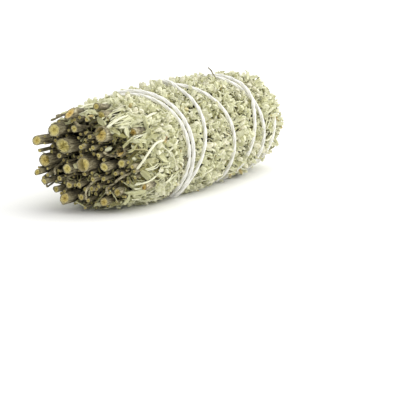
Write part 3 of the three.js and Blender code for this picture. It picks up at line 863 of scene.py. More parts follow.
def ribCopies(rng, i):
    count = rib["count"]
    start = bundle["starts"][i] * mm
    along = start + rng.random(count) ** rib["crowd"] * (bundle["end"] - start - rib["short"])
    width = rng.uniform(*rib["width"], count) * mm
    spread, least, reach = rib["yaw"]
    astray = np.clip((along - start) / reach, least, 1)
    return {"along": along, "angle": withinSpray(i, along, rng.random(count)),
            "lift": rng.uniform(*rib["lift"], count) * mm, "yaw": rng.normal(0, spread, count) * astray,
            "pitch": rng.normal(*rib["pitch"], count), "roll": rng.normal(0, rib["roll"], count),
            "length": rng.uniform(*rib["length"], count) * mm, "width": width, "height": width,
            "tone": tones(rng, rib["tone"], count), "depth": rng.uniform(*rib["depth"], count)}


# The loose collar where the foliage starts: single curled leaves with dark hollows between them.
collar = {
    "counts": [60, 60, 50, 40, 26, 22, 40, 105, 115, 90],
    "shares": {"curl": 1.15, "scoop": 0.35},    # of those counts, for each kind of leaf
    "span": (-1, 14.5),
    "length": (2.6, 6),
    "width": (0.25, 0.5),
    "height": 1.2,
    "lift": (-1.1, -4.5),    # of the highest, and how much lower the deepest are
    "crowd": 0.9,
    "yaw": 1.0,
    "pitch": (0, 0.4),
    "roll": 1.1,
    "tone": (0.46, -0.25),    # on top, and how that changes down to the deepest, darker as painted shade
    # painted shade: on top, and how it changes down to the deepest
    "depth": (0.98, -0.85),
}


def collarCopies(rng, i, share):
    count = int(collar["counts"][i] * share)
    along = bundle["starts"][i] * mm + rng.uniform(*collar["span"], count) * mm
    down = rng.random(count) ** collar["crowd"]
    length = rng.uniform(*collar["length"], count) * mm
    lift, tone, depth = (collar[k][0] + collar[k][1] * down for k in ("lift", "tone", "depth"))
    return {"along": along, "angle": withinSpray(i, along, rng.random(count)), "lift": lift * mm,
            **swung(rng, count, collar), "length": length,
            "width": length * rng.uniform(*collar["width"], count), "height": length * collar["height"],
            "tone": tones(rng, tone, count), "depth": depth}


# Leaf tips standing out of the round end.
tipLeaf = {
    "count": 46,
    "span": (93, 109.5),
    "length": (3, 5.4),
    "width": 0.45,
    "lift": -0.9 * mm,
    "yaw": 0.5,
    "pitch": (0.2, 0.75),
    "roll": 0.8,
    "tone": 0.66,
}


def tipCopies(rng, i):
    count = tipLeaf["count"]
    along = rng.uniform(*tipLeaf["span"], count) * mm
    length = rng.uniform(*tipLeaf["length"], count) * mm
    return {"along": along, "angle": withinSpray(i, along, rng.random(count)),
            "lift": np.full(count, tipLeaf["lift"]), **swung(rng, count, tipLeaf), "length": length,
            "width": length * tipLeaf["width"], "height": length, "tone": tones(rng, tipLeaf["tone"], count)}


# Leaves that close the very end, pointing forward.
endLeaf = {
    "count": 14,
    "span": (104, 108.6),
    "radius": 5.2 * mm,
    "length": (3, 4.6),
    "width": 0.5,
    "yaw": 0.55,
    "pitch": 0.55,
    "tone": 0.6,
    "depth": (0.6, 1),
}


def endCopies(rng, i):
    s, count = endLeaf, endLeaf["count"]
    turn = withinSpray(i, s["span"][1] * mm, rng.random(count))
    out = s["radius"] * np.sqrt(rng.random(count))
    length = rng.uniform(*s["length"], count) * mm
    return {"along": rng.uniform(*s["span"], count) * mm, "across": out * np.cos(turn),
            "up": out * np.sin(turn), **tossed(rng, count, s), "length": length,
            "width": length * s["width"], "height": length, "tone": tones(rng, s["tone"], count),
            "depth": rng.uniform(*s["depth"], count)}


# The dark middle of a spray, so that no light comes through between its leaves.
coreShape = {
    "depth": 3.2 * mm,
    "inner": 12.4 * mm,
    "before": 8 * mm,    # how far behind the first leaves it starts
    "short": 0.5 * mm,    # how far before the end of the foliage it ends
    "held": 0.6,    # how much of the thread's pressing in it follows
    "rounding": (3 * mm, 0.25),    # its ends draw in over this length to this share of its thickness
    "closeFrom": 84 * mm,    # past here it closes up to the axis
    "closeRate": 1.2,
    "thickness": (1.5 * mm, 0.3 * mm),    # the least, along its length and at its ends
    "lowest": 0.5 * mm,
    "stations": 56,
    "across": 7,
    "uneven": 0.35 * mm,
    # near black, with depth zero: painted shade in the middle of the spray
    "tone": 0.06,
}


def sprayCore(rng, i):
    s = coreShape
    along = np.linspace(bundle["starts"][i] * mm + s["before"], bundle["end"] - s["short"], s["stations"])
    at = np.repeat(along[:, None], s["across"], axis=1)
    angle = withinSpray(i, at, np.linspace(0, 1, s["across"]))
    fromEnd = np.minimum(at - along[0], along[-1] - at)
    reach, share = s["rounding"]
    closing = np.minimum(1, fromEnd / reach + share)
    outside = radiusAt(at) - s["depth"] - surface["pressed"] * s["held"] * (1 - freedom(at, angle))
    inside = np.minimum(s["inner"], outside - s["thickness"][0])
    inside -= np.maximum(at - s["closeFrom"], 0) * s["closeRate"]
    inside = np.maximum(inside, s["lowest"])
    outside = inside + (outside - inside) * closing
    outside += s["uneven"] * rng.normal(0, 1, at.shape) * (closing >= 1)
    outer = onBundle(at, angle, np.maximum(outside, inside + s["thickness"][1]))
    inner = onBundle(along, withinSpray(i, along, 0.5), inside[:, 0])
    rings = np.concatenate([outer, inner[:, None]], axis=1)
    rings[..., 2] = np.maximum(rings[..., 2], s["lowest"])
    n = rings.shape[1]
    k = np.arange(s["stations"] - 1)[:, None] * n
    j = np.arange(n)[None]
    a, b = (k + j).ravel(), (k + (j + 1) % n).ravel()
    walls = np.concatenate([np.stack([a, a + n, b + n], 1), np.stack([a, b + n, b], 1)])
    last = (s["stations"] - 1) * n
    ends = [(0, m, m + 1) for m in range(1, n - 1)]
    ends += [(last, last + m + 1, last + m) for m in range(1, n - 1)]
    points = rings.reshape(-1, 3)
    return {"points": points, "faces": np.concatenate([walls, np.array(ends)]),
            "tone": np.full(len(points), s["tone"]), "place": np.zeros((len(points), 3))}


def sprayParts(rng, i):
    along, angle = tuftPlaces(rng, i)
    centres = (along, angle, rng.uniform(*tuft["size"], len(along)))
    tone = rng.normal(*tuft["tone"], len(along))
    parts = [sprayCore(rng, i), copiesOf(masters["curl"], underCopies(rng, i))]
    for kind, s in tuft["kinds"].items():
        parts.append(copiesOf(masters[kind], tuftCopies(rng, centres, tone, s)))
    for kind, copies in (("wedge", bladeCopies), ("stalk", ribCopies), ("curl", tipCopies),
                         ("curl", endCopies)):
        parts.append(copiesOf(masters[kind], copies(rng, i)))
    for kind, share in collar["shares"].items():
        parts.append(copiesOf(masters[kind], collarCopies(rng, i, share)))
    return parts


spraySeed = 41
for i in range(bundle["sprays"]):
    parts = sprayParts(np.random.default_rng(spraySeed + i), i)
    piece = makePiece(f"leafySpray{i + 1:02d}", joinParts(parts), [leafMatter],
                      f"leafy_spray_{i + 1:02d}", isSmooth=False)
    print(piece.name, len(piece.data.polygons), "faces")


# Cut stems: place of the cut along, across and up from the axis, diameter, all in mm, slant in degrees,
# what the cut end is like, and how ochre its wood is.
stem = {
    "seed": 900,
    "end": 78 * mm,
    "short": 4 * mm,    # how far before that the inner ones end
    "slantReach": 4 * mm,    # how far down the bark the slant of the cut is felt
    "taper": 0.7,
    "drawIn": np.array([(0, 1), (5, 1), (22, 0.86), (78, 0.76)]) * (mm, 1),
    "outerFrom": 14.4 * mm,
    "outerLength": 21 * mm,
    "outerRadius": 13.6 * mm,
    "sway": 0.22 * mm,
    "swayLength": 7 * mm,
    "swayShift": 1.7,
    "places": [
        (1, 8, 10.2, 4.1, 8, "sound", 0.1), (2, 5.3, 5.4, 4.9, -6, "crushed", 0.05),
        (4, -6.7, 9.6, 4.6, 5, "notched", 0.45), (3, -1, 0, 4.6, 12, "hollow", 0.3),
        (2, 12.2, 0.3, 4, -10, "notched", 0.4), (0, 13.6, 6.7, 3.1, 14, "sound", 0.3),
        (3, 5, -1.8, 3.1, 4, "sound", 0.15), (2.5, 5.6, -11, 3.4, 12, "sound", 0.4),
        (5, -7.6, -0.5, 2.9, -8, "sound", 0.1), (8, -11.1, 4.2, 2.9, 20, "broken", 0.8),
        (8.5, -11.2, 0.4, 2.6, 6, "sound", 0.05), (8, -4.8, 14.7, 2.8, -12, "sound", 0.15),
        (3, 3.4, 15.4, 2.8, 56, "sound", 0.85), (10, -1.2, 17, 2.1, 10, "sound", 0.2),
        (4, 2.9, 10.6, 2.3, -9, "sound", 0.1), (15, -15, -7.8, 3, 12, "sound", 1.0),
        (8, -5.2, -12.1, 2.8, 16, "sound", 0.4), (13, -12.6, 9.4, 2.7, -14, "sound", 0.8),
        (8.5, -9.8, -8.7, 2.4, 9, "crushed", 0.2), (0, 13.7, -3.2, 1.9, 20, "crushed", 0.2),
        (0.5, 11.6, -5.9, 1.9, -20, "sound", 0.2), (5, 5.7, -7.2, 2.3, 8, "sound", 0.2),
        (6, 1.7, -10.9, 2, 0, "sound", 0.2), (6, -0.9, 13.6, 1.8, 15, "sound", 0.1),
        (4, 0.5, 5.1, 1.5, 8, "twig", 0.1), (4.5, -3.5, 5.2, 1.5, -12, "twig", 0.1),
        (5, -2.4, 8.4, 1.5, 10, "twig", 0.1), (4.5, -3.6, -4.6, 1.6, -6, "twig", 0.1),
        (6, -6.2, -4.4, 1.5, 12, "twig", 0.1), (7, -10.1, -2.6, 1.5, -9, "twig", 0.1),
        (4, 1, -6.6, 1.6, 5, "twig", 0.1), (5, -5.3, 2.9, 1.5, -16, "twig", 0.1),
        (3.5, 8.3, 1.9, 1.6, 10, "twig", 0.1), (4.5, 8.7, -5.4, 1.7, -8, "twig", 0.1),
        (4, 9.4, -8.8, 1.9, 10, "twig", 0.1), (6, -1.9, -7.9, 1.6, 12, "twig", 0.1),
    ],
}

# The cut ends. A part of the face can be sunk: from "edge" on, in a direction, by "sunk", as shares of
# the stem's radius.
cutEnds = {
    "bark": 0.1,
    "darkens": 7 * mm,    # how far in the bark goes from pale to dark, painted shade between the stems
    "paleToShaded": (1.35, 0.16, 1.2),    # how pale it starts, the darkest and the palest
    "face": [0.62, 0.36, 0.14],    # radii of the rings of points on the cut
    "atCut": 1e-4,    # points nearer the cut than this share of the length are at the cut
    "onFace": 0.8,    # and those of them nearer the middle than this lie on its wood
    "onRim": 0.95,    # and those farther out than this on the rim of bark
    "rim": 0.1,    # how far the rim stands in front
    "edgeWidth": 0.18,    # over which a sunk part goes down
    "faceTone": (0.85, 1.0),
    # painted shade: a sunk part of the cut is darker by this share at its deepest
    "sunkShade": 0.55,
    "kinds": {
        "sound": {"edge": 1, "sunk": 0, "rough": 0.07},
        "notched": {"edge": 0.3, "sunk": 0.8, "rough": 0.08},
        "hollow": {"edge": -0.05, "sunk": 0.7, "rough": 0.06},
        "broken": {"edge": -0.3, "sunk": 1.1, "rough": 0.25},
        "crushed": {"edge": 0.55, "sunk": 0.3, "rough": 0.16},
        "twig": {"edge": 1, "sunk": 0, "rough": 0.15},
    },
    "stemSides": 22,
    "twigSides": 8,
    # shares of the length at which there is a ring, close together where it shows
    "stemRings": [0.006, 0.02, 0.04, 0.065, 0.09, 0.12, 0.16, 0.22, 0.32, 0.46, 0.7, 1.0],
    "twigRings": [0.05, 0.2, 0.4, 0.65, 1.0],
}


# A stem of radius 1 and length 1 from x = 0: the cut face with its rim of bark, then the bark drawn out.
def modelStem(sides, rings):
    deselectAll()
    bpy.ops.mesh.primitive_circle_add(vertices=sides, radius=1, fill_type="NGON",
                                      rotation=(0, math.pi / 2, 0))
    piece = bpy.context.object
    bpy.ops.object.transform_apply(location=True, rotation=True, scale=True)
    bpy.ops.object.mode_set(mode="EDIT")
    bpy.ops.mesh.select_mode(type="FACE")
    bpy.ops.mesh.select_all(action="SELECT")
    radius = 1
    for ring in [1 - cutEnds["bark"], *cutEnds["face"]]:
        bpy.ops.mesh.inset(thickness=(radius - ring) * math.cos(math.pi / sides))
        radius = ring
    bpy.ops.mesh.select_all(action="DESELECT")
    bpy.ops.mesh.select_mode(type="EDGE")
    bpy.ops.mesh.select_non_manifold()
    before = 0
    for at in rings:
        bpy.ops.mesh.extrude_edges_move(TRANSFORM_OT_translate={"value": (at - before, 0, 0)})
        before = at
    bpy.ops.mesh.edge_face_add()
    return closeMaster(piece)


stemMaster = modelStem(cutEnds["stemSides"], cutEnds["stemRings"])
twigMaster = modelStem(cutEnds["twigSides"], cutEnds["twigRings"])
print("modelled stem", len(stemMaster["faces"]), "faces, twig", len(twigMaster["faces"]), "faces")


def stemAxis(place, index, along):
    cut, across, up, diameter = (v * mm for v in place[:4])
    out = math.hypot(across, up)
    gone = np.clip((along - cut) / stem["outerLength"], 0, 1)
    outer = 1 - (1 - stem["outerRadius"] / max(out, stem["outerRadius"])) * gone
    draw = np.interp(along, *stem["drawIn"].T) / np.interp(cut, *stem["drawIn"].T)
    drawn = outer if out > stem["outerFrom"] else draw
    sway = stem["sway"] * np.sin(along / stem["swayLength"] + index * stem["swayShift"])
    taper = 1 - (1 - stem["taper"]) * np.maximum(0, along - cut) / (stem["end"] - cut)
    return across * drawn + sway, up * drawn, diameter / 2 * taper


# Ridges down the bark: how many round, how far they wind and how far they stand out, then how oval a
# stem is, and the share of the ridges that still shows at the cut.
barkShape = {"ridges": [(5, 8, 0.03), (9, -11, 0.045), (14, 17, 0.035)], "oval": 0.05, "faceShare": 0.4}


# One master bent along the stem's own line, with ridges down its bark, and an uneven cut.
def stemPart(master, place, index, length):
    rng = np.random.default_rng(stem["seed"] + index)
    s, bumps = cutEnds, barkShape
    cut, slant, kind = place[0] * mm, math.radians(place[4]), s["kinds"][place[5]]
    x, y, z = master["points"].T
    turn, reach = np.arctan2(z, y), np.hypot(y, z)
    isFace = x < s["atCut"]
    along = cut + x * length
    across, up, radius = stemAxis(place, index, along)
    phases = rng.uniform(0, 2 * math.pi, len(bumps["ridges"]) + 2)
    ridges = sum(size * np.sin(n * turn + phase + x * twist)
                 for (n, twist, size), phase in zip(bumps["ridges"], phases))
    ridges = ridges * np.where(isFace, bumps["faceShare"], 1) + bumps["oval"] * np.cos(2 * turn + phases[-2])
    size = radius * reach * (1 + ridges * (reach > s["onFace"]))
    sideways, upward = size * np.cos(turn), size * np.sin(turn)
    lean = math.tan(slant) * upward * np.exp(-x * length / stem["slantReach"])
    towards = reach * np.cos(turn - phases[-1])
    sunk = kind["sunk"] * np.clip((towards - kind["edge"]) / s["edgeWidth"], 0, 1) * (reach < s["onFace"])
    rough = kind["rough"] * rng.normal(0, 1, len(x)) * (reach < s["onRim"]) - s["rim"] * (reach > s["onRim"])
    shown = fromCross(along + lean + isFace * radius * (sunk + rough), across + sideways, up + upward)
    shown[:, 2] = np.maximum(shown[:, 2], surface["floorGap"])
    isCut = (isFace & (reach < s["onRim"]))[master["faces"]].all(axis=1)
    face = np.stack([y, z, np.full(len(x), place[6])], axis=-1)
    # The bark is painted darker farther from the cut, as shade between the stems.
    palest, least, most = s["paleToShaded"]
    inwards = np.clip(palest - x * length / s["darkens"], least, most)
    # The cut face has a random tone, with sunk parts painted darker as shade.
    tone = np.where(isFace, rng.uniform(*s["faceTone"]) * (1 - s["sunkShade"] * np.minimum(sunk, 1)), inwards)
    return {"points": shown, "faces": master["faces"], "tone": tone, "place": face}, isCut


for index, place in enumerate(stem["places"]):
    isOuter = math.hypot(place[1], place[2]) * mm > stem["outerFrom"]
    length = stem["outerLength"] if isOuter else stem["end"] - stem["short"] - place[0] * mm
    part, isCut = stemPart(stemMaster, place, index, length)
    makePiece(f"cutStem{index + 1:02d}", part, [bark, cutWood],
              f"cut_stem_{index + 1:02d}", isCut)
print(len(stem["places"]), "stems made")


# How far along the bundle its cut end lies at a place across it, going by the stems near that place.
def frontAt(across, up, blur=0.5):
    cuts, acrossAt, upAt = (np.array([place[k] for place in stem["places"]]) for k in range(3))
    near = 1 / (blur + (across[:, None] / mm - acrossAt) ** 2 + (up[:, None] / mm - upAt) ** 2) ** 2
    return (near * cuts).sum(axis=1) / near.sum(axis=1) * mm


# Places across the bunch of stems, clear of the stems themselves.
def gapPlaces(rng, count, room, radius):
    turn, out = rng.uniform(0, 2 * math.pi, count), np.sqrt(rng.random(count)) * radius
    across, up = out * np.cos(turn), out * np.sin(turn)
    free = np.full(count, True)
    for place in stem["places"]:
        apart = np.hypot(across - place[1] * mm, up - place[2] * mm)
        free &= apart > place[3] / 2 * mm + room
    return across[free], up[free]


# Thin twigs between the stems, cut off at all lengths.
thinTwigs = {
    "seed": 77,
    "tried": 900,
    "room": 0.25 * mm,
    "radius": 15.2 * mm,
    "apart": 1.25 * mm,
    "length": 15 * mm,
    "behind": (0.2, 5.5),
    "lean": 0.11,
    "diameter": (0.7, 1.5),
    "slant": 18,
    "ochre": (0, 0.3),
    "tone": 0.92,
    "firstIndex": 100,
}


def makeThinTwigs():
    s = thinTwigs
    rng = np.random.default_rng(s["seed"])
    across, up = gapPlaces(rng, s["tried"], s["room"], s["radius"])
    kept = []
    for k in range(len(across)):
        if all(math.hypot(across[k] - across[j], up[k] - up[j]) > s["apart"] for j in kept):
            kept.append(k)
    front = frontAt(across[kept], up[kept]) / mm
    parts, cuts = [], []
    for n, k in enumerate(kept):
        place = (front[n] + rng.uniform(*s["behind"]), across[k] / mm, up[k] / mm,
                 rng.uniform(*s["diameter"]), rng.normal(0, s["slant"]), "twig", rng.uniform(*s["ochre"]))
        part, isCut = stemPart(twigMaster, place, s["firstIndex"] + n, s["length"])
        lean = rng.normal(0, s["lean"], 2)
        lean *= -1 if lean @ (across[k], up[k]) > 0 else 1
        lean = lean * (part["points"][:, :1] - part["points"][:, 0].min())
        part["points"][:, 1:] += lean
        part["tone"] *= s["tone"]
        parts.append(part)
        cuts.append(isCut)
    makePiece("thinTwigs", joinParts(parts), [bark, cutWood],
              faceMaterial=np.concatenate(cuts))
    print("thin twigs:", len(kept))


makeThinTwigs()

# Broken leaves, buds and shreds of bark caught between the stems, painted darker farther in as shade among
# the stems.
litter = {
    "seed": 78,
    "radius": 14.6 * mm,
    "deep": 15,
    "crowd": 1.1,
    "bareBeyond": 8 * mm,    # on the far side the stems are bare for the first few millimetres
    "bare": 9,
    "yaw": 0.8,
    "pitch": 0.6,
    "darker": 0.012,    # tone lost for each millimetre farther in, as painted shade
    "depth": (0.8, 0.1, 0.02, 1),    # painted shade: at the front, lost for each millimetre, the least and the most
    "thickness": 1.5,    # times the width
    "kinds": {
        "curl": {"count": 1150, "nearest": 3, "length": (1.6, 3.6), "width": 0.42, "tone": 0.36},
        "stalk": {"count": 200, "nearest": 1, "length": (3, 8), "width": 0.07, "tone": 0.42},
        "head": {"count": 50, "nearest": 1, "length": (1.6, 2.6), "width": 0.8, "tone": 0.55},
    },
}


def litterCopies(rng, s):
    across, up = gapPlaces(rng, s["count"], 0, litter["radius"])
    count = len(across)
    behind = s["nearest"] + litter["deep"] * rng.random(count) ** litter["crowd"]
    behind = np.where(across > litter["bareBeyond"], np.maximum(behind, litter["bare"]), behind)
    size = rng.uniform(*s["length"], count) * mm
    front, lost, least, most = litter["depth"]
    return {"along": frontAt(across, up) + behind * mm, "across": across, "up": up,
            **tossed(rng, count, litter), "length": size, "width": size * s["width"],
            "height": size * s["width"] * litter["thickness"],
            "tone": tones(rng, s["tone"] - litter["darker"] * behind, count),
            "depth": np.clip(front - lost * behind, least, most)}


def makeLitter():
    rng = np.random.default_rng(litter["seed"])
    parts = [copiesOf(masters[kind], litterCopies(rng, s)) for kind, s in litter["kinds"].items()]
    piece = makePiece("stemLitter", joinParts(parts), [leafMatter], isSmooth=False)
    print("litter:", len(piece.data.polygons), "faces")


makeLitter()


# Even steps along a line, and how far along it each one is.
def evenly(line, step):
    lengths = np.concatenate([[0], np.cumsum(np.linalg.norm(np.diff(line, axis=0), axis=1))])
    at = np.linspace(0, lengths[-1], max(4, int(lengths[-1] / step)))
    return np.stack([np.interp(at, lengths, line[:, k]) for k in range(3)], axis=-1), at


# A round ply or twig that follows a line, its two ends closed with a point. It is wound round the line
# at an offset, and "beside" is a direction that the line never takes.
def roundLine(line, at, radius, offset, phase, sides, beside=(1.0, 0.04, 0.02)):
    radius = np.broadcast_to(radius, len(line))
    tangent = np.gradient(line, axis=0)
    tangent /= np.linalg.norm(tangent, axis=1, keepdims=True)
    side = np.cross(tangent, beside)
    side /= np.linalg.norm(side, axis=1, keepdims=True)
    other = np.cross(tangent, side)
    twist = 2 * math.pi * at / thread["pitch"] + phase
    centre = line + offset * (np.cos(twist)[:, None] * side + np.sin(twist)[:, None] * other)
    turn = np.arange(sides) * 2 * math.pi / sides
    outwards = np.cos(turn)[None, :, None] * side[:, None] + np.sin(turn)[None, :, None] * other[:, None]
    rings = centre[:, None] + radius[:, None, None] * outwards
    rings[..., 2] = np.maximum(rings[..., 2], surface["floorGap"])
    count = len(line)
    k = np.arange(count - 1)[:, None] * sides
    j = np.arange(sides)[None]
    a, b = (k + j).ravel(), (k + (j + 1) % sides).ravel()
    walls = np.concatenate([np.stack([a, b, b + sides], 1), np.stack([a, b + sides, a + sides], 1)])
    tips = [centre[:1] - tangent[:1] * radius[0], centre[-1:] + tangent[-1:] * radius[-1]]
    points = np.concatenate([rings.reshape(-1, 3), *tips])
    first, last, end = len(points) - 2, len(points) - 1, (count - 1) * sides
    caps = [(first, (m + 1) % sides, m) for m in range(sides)]
    caps += [(last, end + m, end + (m + 1) % sides) for m in range(sides)]
    lengthwise = np.concatenate([np.repeat(at / mm, sides), at[:1] / mm, at[-1:] / mm])
    sideways, upward = (np.concatenate([np.tile(f(turn), count), [0, 0]]) for f in (np.cos, np.sin))
    return {"points": points, "faces": np.concatenate([walls, np.array(caps)]),
            "tone": np.ones(len(points)), "place": np.stack([lengthwise, sideways, upward], axis=-1)}


# Placed one by one: twigs and ribs as lines with a diameter and a tone, each point in mm along the bundle,
# then degrees round it and mm out of its surface, or mm across it and up from its axis.
placed = {
    "twigsInside": [
        ([(9, 6.4, 14.2), (4, 6.7, 14.6), (1.4, 7.4, 14.5)], 0.9, 1.0),
        ([(4, 6.7, 14.6), (2, 8.2, 13.6), (0.8, 8.9, 13.2)], 0.7, 1.1),
        ([(9, -3.4, -5), (5, -3.2, -5.5), (2.8, -2.2, -8), (3.4, -1.7, -10.8)], 0.7, 1.15),
        ([(8, 12.2, -6), (3, 11.9, -5.4), (1, 11, -6.6), (2, 11.6, -7.8), (7, 12.4, -7.2)], 0.6, 1.15),
        ([(8, 4.8, -4), (3, 4.4, -4.3), (1.5, 3.6, -5.2), (2.2, 2.9, -6)], 0.5, 1.2),
        ([(9, -0.6, 11), (4, 0.4, 11.6), (2.5, 1.4, 13)], 0.8, 1.1),
        ([(8, 9.6, -1.2), (3, 9.2, -2), (1.2, 8, -3.4)], 0.7, 1.15),
        ([(12, -8.8, 2.2), (7, -8.4, 2.8), (5, -7.2, 4)], 0.8, 1.1),
        ([(12, -12.2, -3), (8, -11.8, -3.6), (6.5, -10.4, -5)], 0.8, 1.1),
        ([(11, -7.4, -6.4), (6, -7.6, -7), (4.5, -8.8, -8.4)], 0.7, 1.15),
    ],
    "twigsOutside": [
        ([(40.6, 183, 0.3), (38, 186, 0.7), (35, 190, -0.6)], 0.8, 0.75),
        ([(36.5, 226, 0), (33.4, 228, 0.6), (30, 231, -0.7)], 0.9, 0.7),
        ([(84, 99, -1), (82, 98.5, 0.8), (79, 97, 2.4), (77.4, 96, 3.4)], 0.45, 1.1),
    ],
    "ribs": [
        ([(6.5, 74, -1), (12.9, 75, 0.3), (20, 77, -0.8)], 0.8, 0.7),
        ([(18, 134, -1), (24.3, 132, 0.3), (30, 129, -0.9)], 0.8, 0.7),
        ([(9, 91, -1.2), (16.1, 92, 0.2), (24, 95, -1)], 0.7, 0.72),
        ([(5, 126, -1.4), (10.8, 124, 0), (18, 121, -1)], 0.8, 0.66),
        ([(10.6, 184, -0.8), (14, 171, 0.5), (19, 162.5, 0.7), (25.1, 161, -0.6)], 0.8, 0.72),
        ([(25.1, 176, -0.6), (28.8, 169, 0.6), (32.9, 165, -0.6)], 0.75, 0.72),
        ([(12, 205, -1.2), (17, 200, 0.2), (23, 192, -0.4)], 0.6, 0.66),
        ([(22, 214, -1), (27, 206, 0.3), (31, 201, -0.7)], 0.6, 0.68),
        ([(55, 222, -0.6), (64, 219, 0.4), (72, 215, 0.4), (79, 213, -0.6)], 0.5, 0.72),
        ([(60, 228, -0.6), (70, 223, 0.3), (84, 217, -0.5)], 0.45, 0.72),
        ([(44, 216, -0.6), (52, 207, 0.4), (60, 203, -0.6)], 0.5, 0.7),
        ([(86, 200, -0.5), (93, 192, 0.4), (98, 188, -0.5)], 0.45, 0.7),
        ([(62, 150, -0.4), (64.5, 161, 0.5), (66.5, 172, -0.4)], 0.4, 0.74),
        ([(44, 140, -0.4), (46.5, 152, 0.5), (47, 163, -0.4)], 0.45, 0.74),
    ],
    "budsInside": [(8, -8.7, 11.5), (8, -9.2, 9.7), (8, -8.3, 8.1), (8, -8.3, 5.3), (13, -13, 5.9),
                   (13, -13.7, 1.3), (15, -16.1, 5.6)],
    # buds are turned by amounts that go by their place: how far, and how fast that changes
    "bud": {"length": 2.6 * mm, "width": 0.8, "tone": 0.55, "depth": 0.9, "yaw": (0.5, 900),
            "pitch": (0.4, 700), "roll": 900},
    # leaves standing loose, most at the tip: along, angle, mm long and wide, yaw and pitch in degrees, tone
    "leaves": [
        (67.3, 107, 5, 3.4, 60, 8, 0.6), (94, 104, 5.5, 2.4, 20, 24, 0.7), (99, 150, 6.5, 2, 8, 22, 0.66),
        (99.4, 178, 6.5, 2.2, -6, 24, 0.62), (101.5, 163, 5.6, 2, 6, 26, 0.66),
        (98.5, 136, 5.4, 2, 12, 22, 0.7), (102, 196, 5.4, 2, -14, 24, 0.6),
        (103, 120, 5, 2, 10, 26, 0.66), (24.2, 157, 3.2, 2.2, 30, 10, 0.99),
    ],
    "leafLift": -0.9 * mm,
    "leafRoll": 0.3,
    "readings": 9,    # places read on a smooth line for each point given
    "step": 0.6 * mm,
    "knobs": (0.12, 2.1),    # how knobby the lines are, and how closely
    "held": 0.6,    # how much of the thread's pressing in they follow
    "lowest": 0.6 * mm,
    "beside": (0.1, 0.3, 1.0),
    "sides": {"twigs": 7, "ribs": 6},
}


def placedLines(rows, toPlace, sides):
    size, often = placed["knobs"]
    parts = []
    for points, diameter, tone in rows:
        way = smoothWay(points, placed["readings"] * len(points))
        line, at = evenly(toPlace(*way.T), placed["step"])
        radius = diameter / 2 * mm * (1 + size * np.sin(at / mm * often))
        part = roundLine(line, at, radius, 0, 0, sides, placed["beside"])
        part["tone"] = np.full(len(part["points"]), tone)
        part["place"] = np.tile((0.0, 0.0, 1.0), (len(part["points"]), 1))
        parts.append(part)
    return parts


def placedInside(along, across, up):
    return fromCross(along * mm, across * mm, up * mm)


def placedOutside(along, degrees, out):
    angle = np.radians(degrees)
    pressed = surface["pressed"] * placed["held"] * (1 - freedom(along * mm, angle))
    line = onBundle(along * mm, angle, radiusAt(along * mm) + out * mm - pressed)
    line[:, 2] = np.maximum(line[:, 2], placed["lowest"])
    return line


def placedLeaves():
    along, angle, length, width, yaw, pitch, tone = np.array(placed["leaves"]).T
    return copiesOf(masters["wedge"], {
        "along": along * mm, "angle": np.radians(angle), "lift": np.full(len(along), placed["leafLift"]),
        "yaw": np.radians(yaw), "pitch": np.radians(pitch),
        "roll": placed["leafRoll"] * np.sin(along), "length": length * mm, "width": width * mm,
        "height": width * mm, "tone": tone, "depth": np.ones(len(along))})


# Buds facing out of the cut end, each turned its own way.
def placedBuds():
    s = placed["bud"]
    along, across, up = np.array(placed["budsInside"]).T * mm
    length, tone, depth = (np.full(len(along), s[k]) for k in ("length", "tone", "depth"))
    return copiesOf(masters["head"], {
        "along": along, "across": across, "up": up,
        "yaw": math.pi + s["yaw"][0] * np.sin(across * s["yaw"][1]),
        "pitch": s["pitch"][0] * np.cos(up * s["pitch"][1]), "roll": up * s["roll"], "length": length,
        "width": length * s["width"], "height": length * s["width"], "tone": tone, "depth": depth})


def makePlaced():
    twigs = placedLines(placed["twigsInside"], placedInside, placed["sides"]["twigs"])
    twigs += placedLines(placed["twigsOutside"], placedOutside, placed["sides"]["twigs"])
    makePiece("curvedTwigs", joinParts(twigs), [bark])
    ribs = placedLines(placed["ribs"], placedOutside, placed["sides"]["ribs"])
    makePiece("paleRibs", joinParts([*ribs, placedLeaves(), placedBuds()]), [leafMatter])
    print("placed by hand:", len(twigs), "twigs,", len(ribs), "ribs")


makePlaced()


# Cotton thread: three plies twisted together along the thread's way, then the knot and its two tails.
knot = {
    "along": 35.6 * mm,
    "angle": -26,
    "turns": 2.6,
    "radius": 1.25 * mm,
    "tails": [(0.8, 7.2, 4, 28), (-0.8, 4, -4, 20)],    # mm from the knot, mm long, degrees at both ends
    "tailSunk": 0.2 * mm,
    "tailArch": (0.5 * mm, 3),    # how high the tails arch, and the part of a wave that they follow
    "points": (60, 16),    # places read along the knot and along a tail
    "proud": 0.1 * mm,
    "loop": (1.2, 0.6),    # how far it reaches sideways and outwards, times its radius
    "drift": (1.3 * mm, 0.62, 0.3 * mm),    # how its turns lie beside each other
}


def threadLine(way, climbs):
    count, lowerCount = thread["readings"]
    turned, along = smoothWay(way, count).T
    radius = radiusAt(along) + thread["proud"]
    if climbs:
        lower = smoothWay(thread["wayUp"], lowerCount)
        beside = np.abs(turnsApart(lower[None, :, 0], turned[:, None])) < thread["sameSide"]
        apart = np.where(beside, lower[None, :, 1] - along[:, None], 1)
        signed = np.take_along_axis(apart, np.abs(apart).argmin(axis=1)[:, None], axis=1)[:, 0]
        gap = np.abs(signed)
        radius = radius + thread["hump"] * np.exp(-thread["humpFall"] * (gap / thread["humpReach"]) ** 2)
        isBeside = np.exp(-((gap - thread["besideGap"]) / thread["besideSpread"]) ** 2)
        along = along + np.sign(signed) * thread["lean"] * isBeside
    line = onBundle(along, np.radians(turned), radius)
    line[:, 2] = np.maximum(line[:, 2], thread["lowest"])
    return line


def threadParts(line, step):
    line, at = evenly(line, step)
    strands, radius, offset, sides = (thread[k] for k in ("strands", "strandRadius", "strandOffset", "sides"))
    return [roundLine(line, at, radius, offset, 2 * math.pi * n / strands, sides) for n in range(strands)]


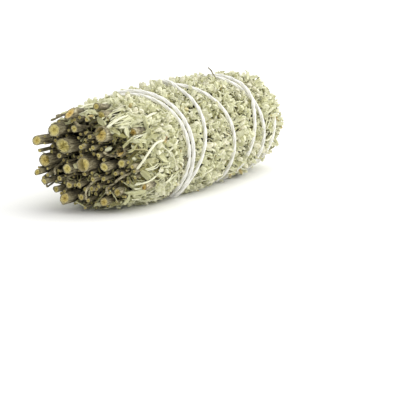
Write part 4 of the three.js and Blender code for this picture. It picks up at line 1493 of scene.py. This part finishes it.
def knotLine():
    t = np.linspace(0, knot["turns"] * 2 * math.pi, knot["points"][0])
    (sideways, outwards), (far, often, near) = knot["loop"], knot["drift"]
    angle = math.radians(knot["angle"]) + sideways * knot["radius"] * np.cos(t) / radiusAt(knot["along"])
    out = radiusAt(knot["along"]) + knot["proud"] + outwards * knot["radius"] * np.sin(t)
    return onBundle(knot["along"] + far * np.sin(t * often) + near * np.cos(t), angle, out)


def tailLine(start, reach, first, last):
    share = np.linspace(0, 1, knot["points"][1])
    along = knot["along"] + start * mm + np.sign(start) * reach * mm * share
    angle = np.radians(knot["angle"] + first + (last - first) * share)
    arch = knot["tailArch"][0] * np.sin(share * knot["tailArch"][1])
    return onBundle(along, angle, radiusAt(along) - knot["tailSunk"] + arch)


threadLines = [threadLine(thread["wayUp"], False), threadLine(thread["wayDown"], True), knotLine()]
threadLines += [tailLine(*tail) for tail in knot["tails"]]
threadMesh = joinParts([ply for line in threadLines for ply in threadParts(line, thread["step"])])
makePiece("cottonThread", threadMesh, [cotton], "cotton_thread")
print("thread made:", len(threadMesh["faces"]), "faces")


# Floor and light

studio = {
    "floorSize": 8,
    "floorHeight": -0.02 * mm,
    "world": 0.92,
    "key": {"place": (0.3, -0.3, 0.9), "size": 1.1, "power": 6},
    "fill": {"place": (0.8, -0.8, 0.4), "size": 0.9, "power": 6},
}


def makeStudio():
    deselectAll()
    bpy.ops.mesh.primitive_plane_add(size=studio["floorSize"], location=(0, 0, studio["floorHeight"]))
    floor = bpy.context.object
    floor.name = "paleFloor"
    bpy.ops.object.transform_apply(location=True, rotation=True, scale=True)
    floor.data.materials.append(floorMaterial())
    for name in ("key", "fill"):
        light = studio[name]
        towards = Vector(light["place"]).to_track_quat("Z", "Y").to_euler()
        bpy.ops.object.light_add(type="AREA", location=light["place"], rotation=towards)
        lamp = bpy.context.object
        lamp.name = name + "Light"
        lamp.data.size = light["size"]
        lamp.data.energy = light["power"]
    world = bpy.data.worlds.new("studioWorld")
    world.use_nodes = True
    world.node_tree.nodes["Background"].inputs["Color"].default_value = (1, 1, 1, 1)
    world.node_tree.nodes["Background"].inputs["Strength"].default_value = studio["world"]
    bpy.context.scene.world = world
    bpy.context.scene.view_settings.view_transform = "Standard"


makeStudio()
print("studio made")
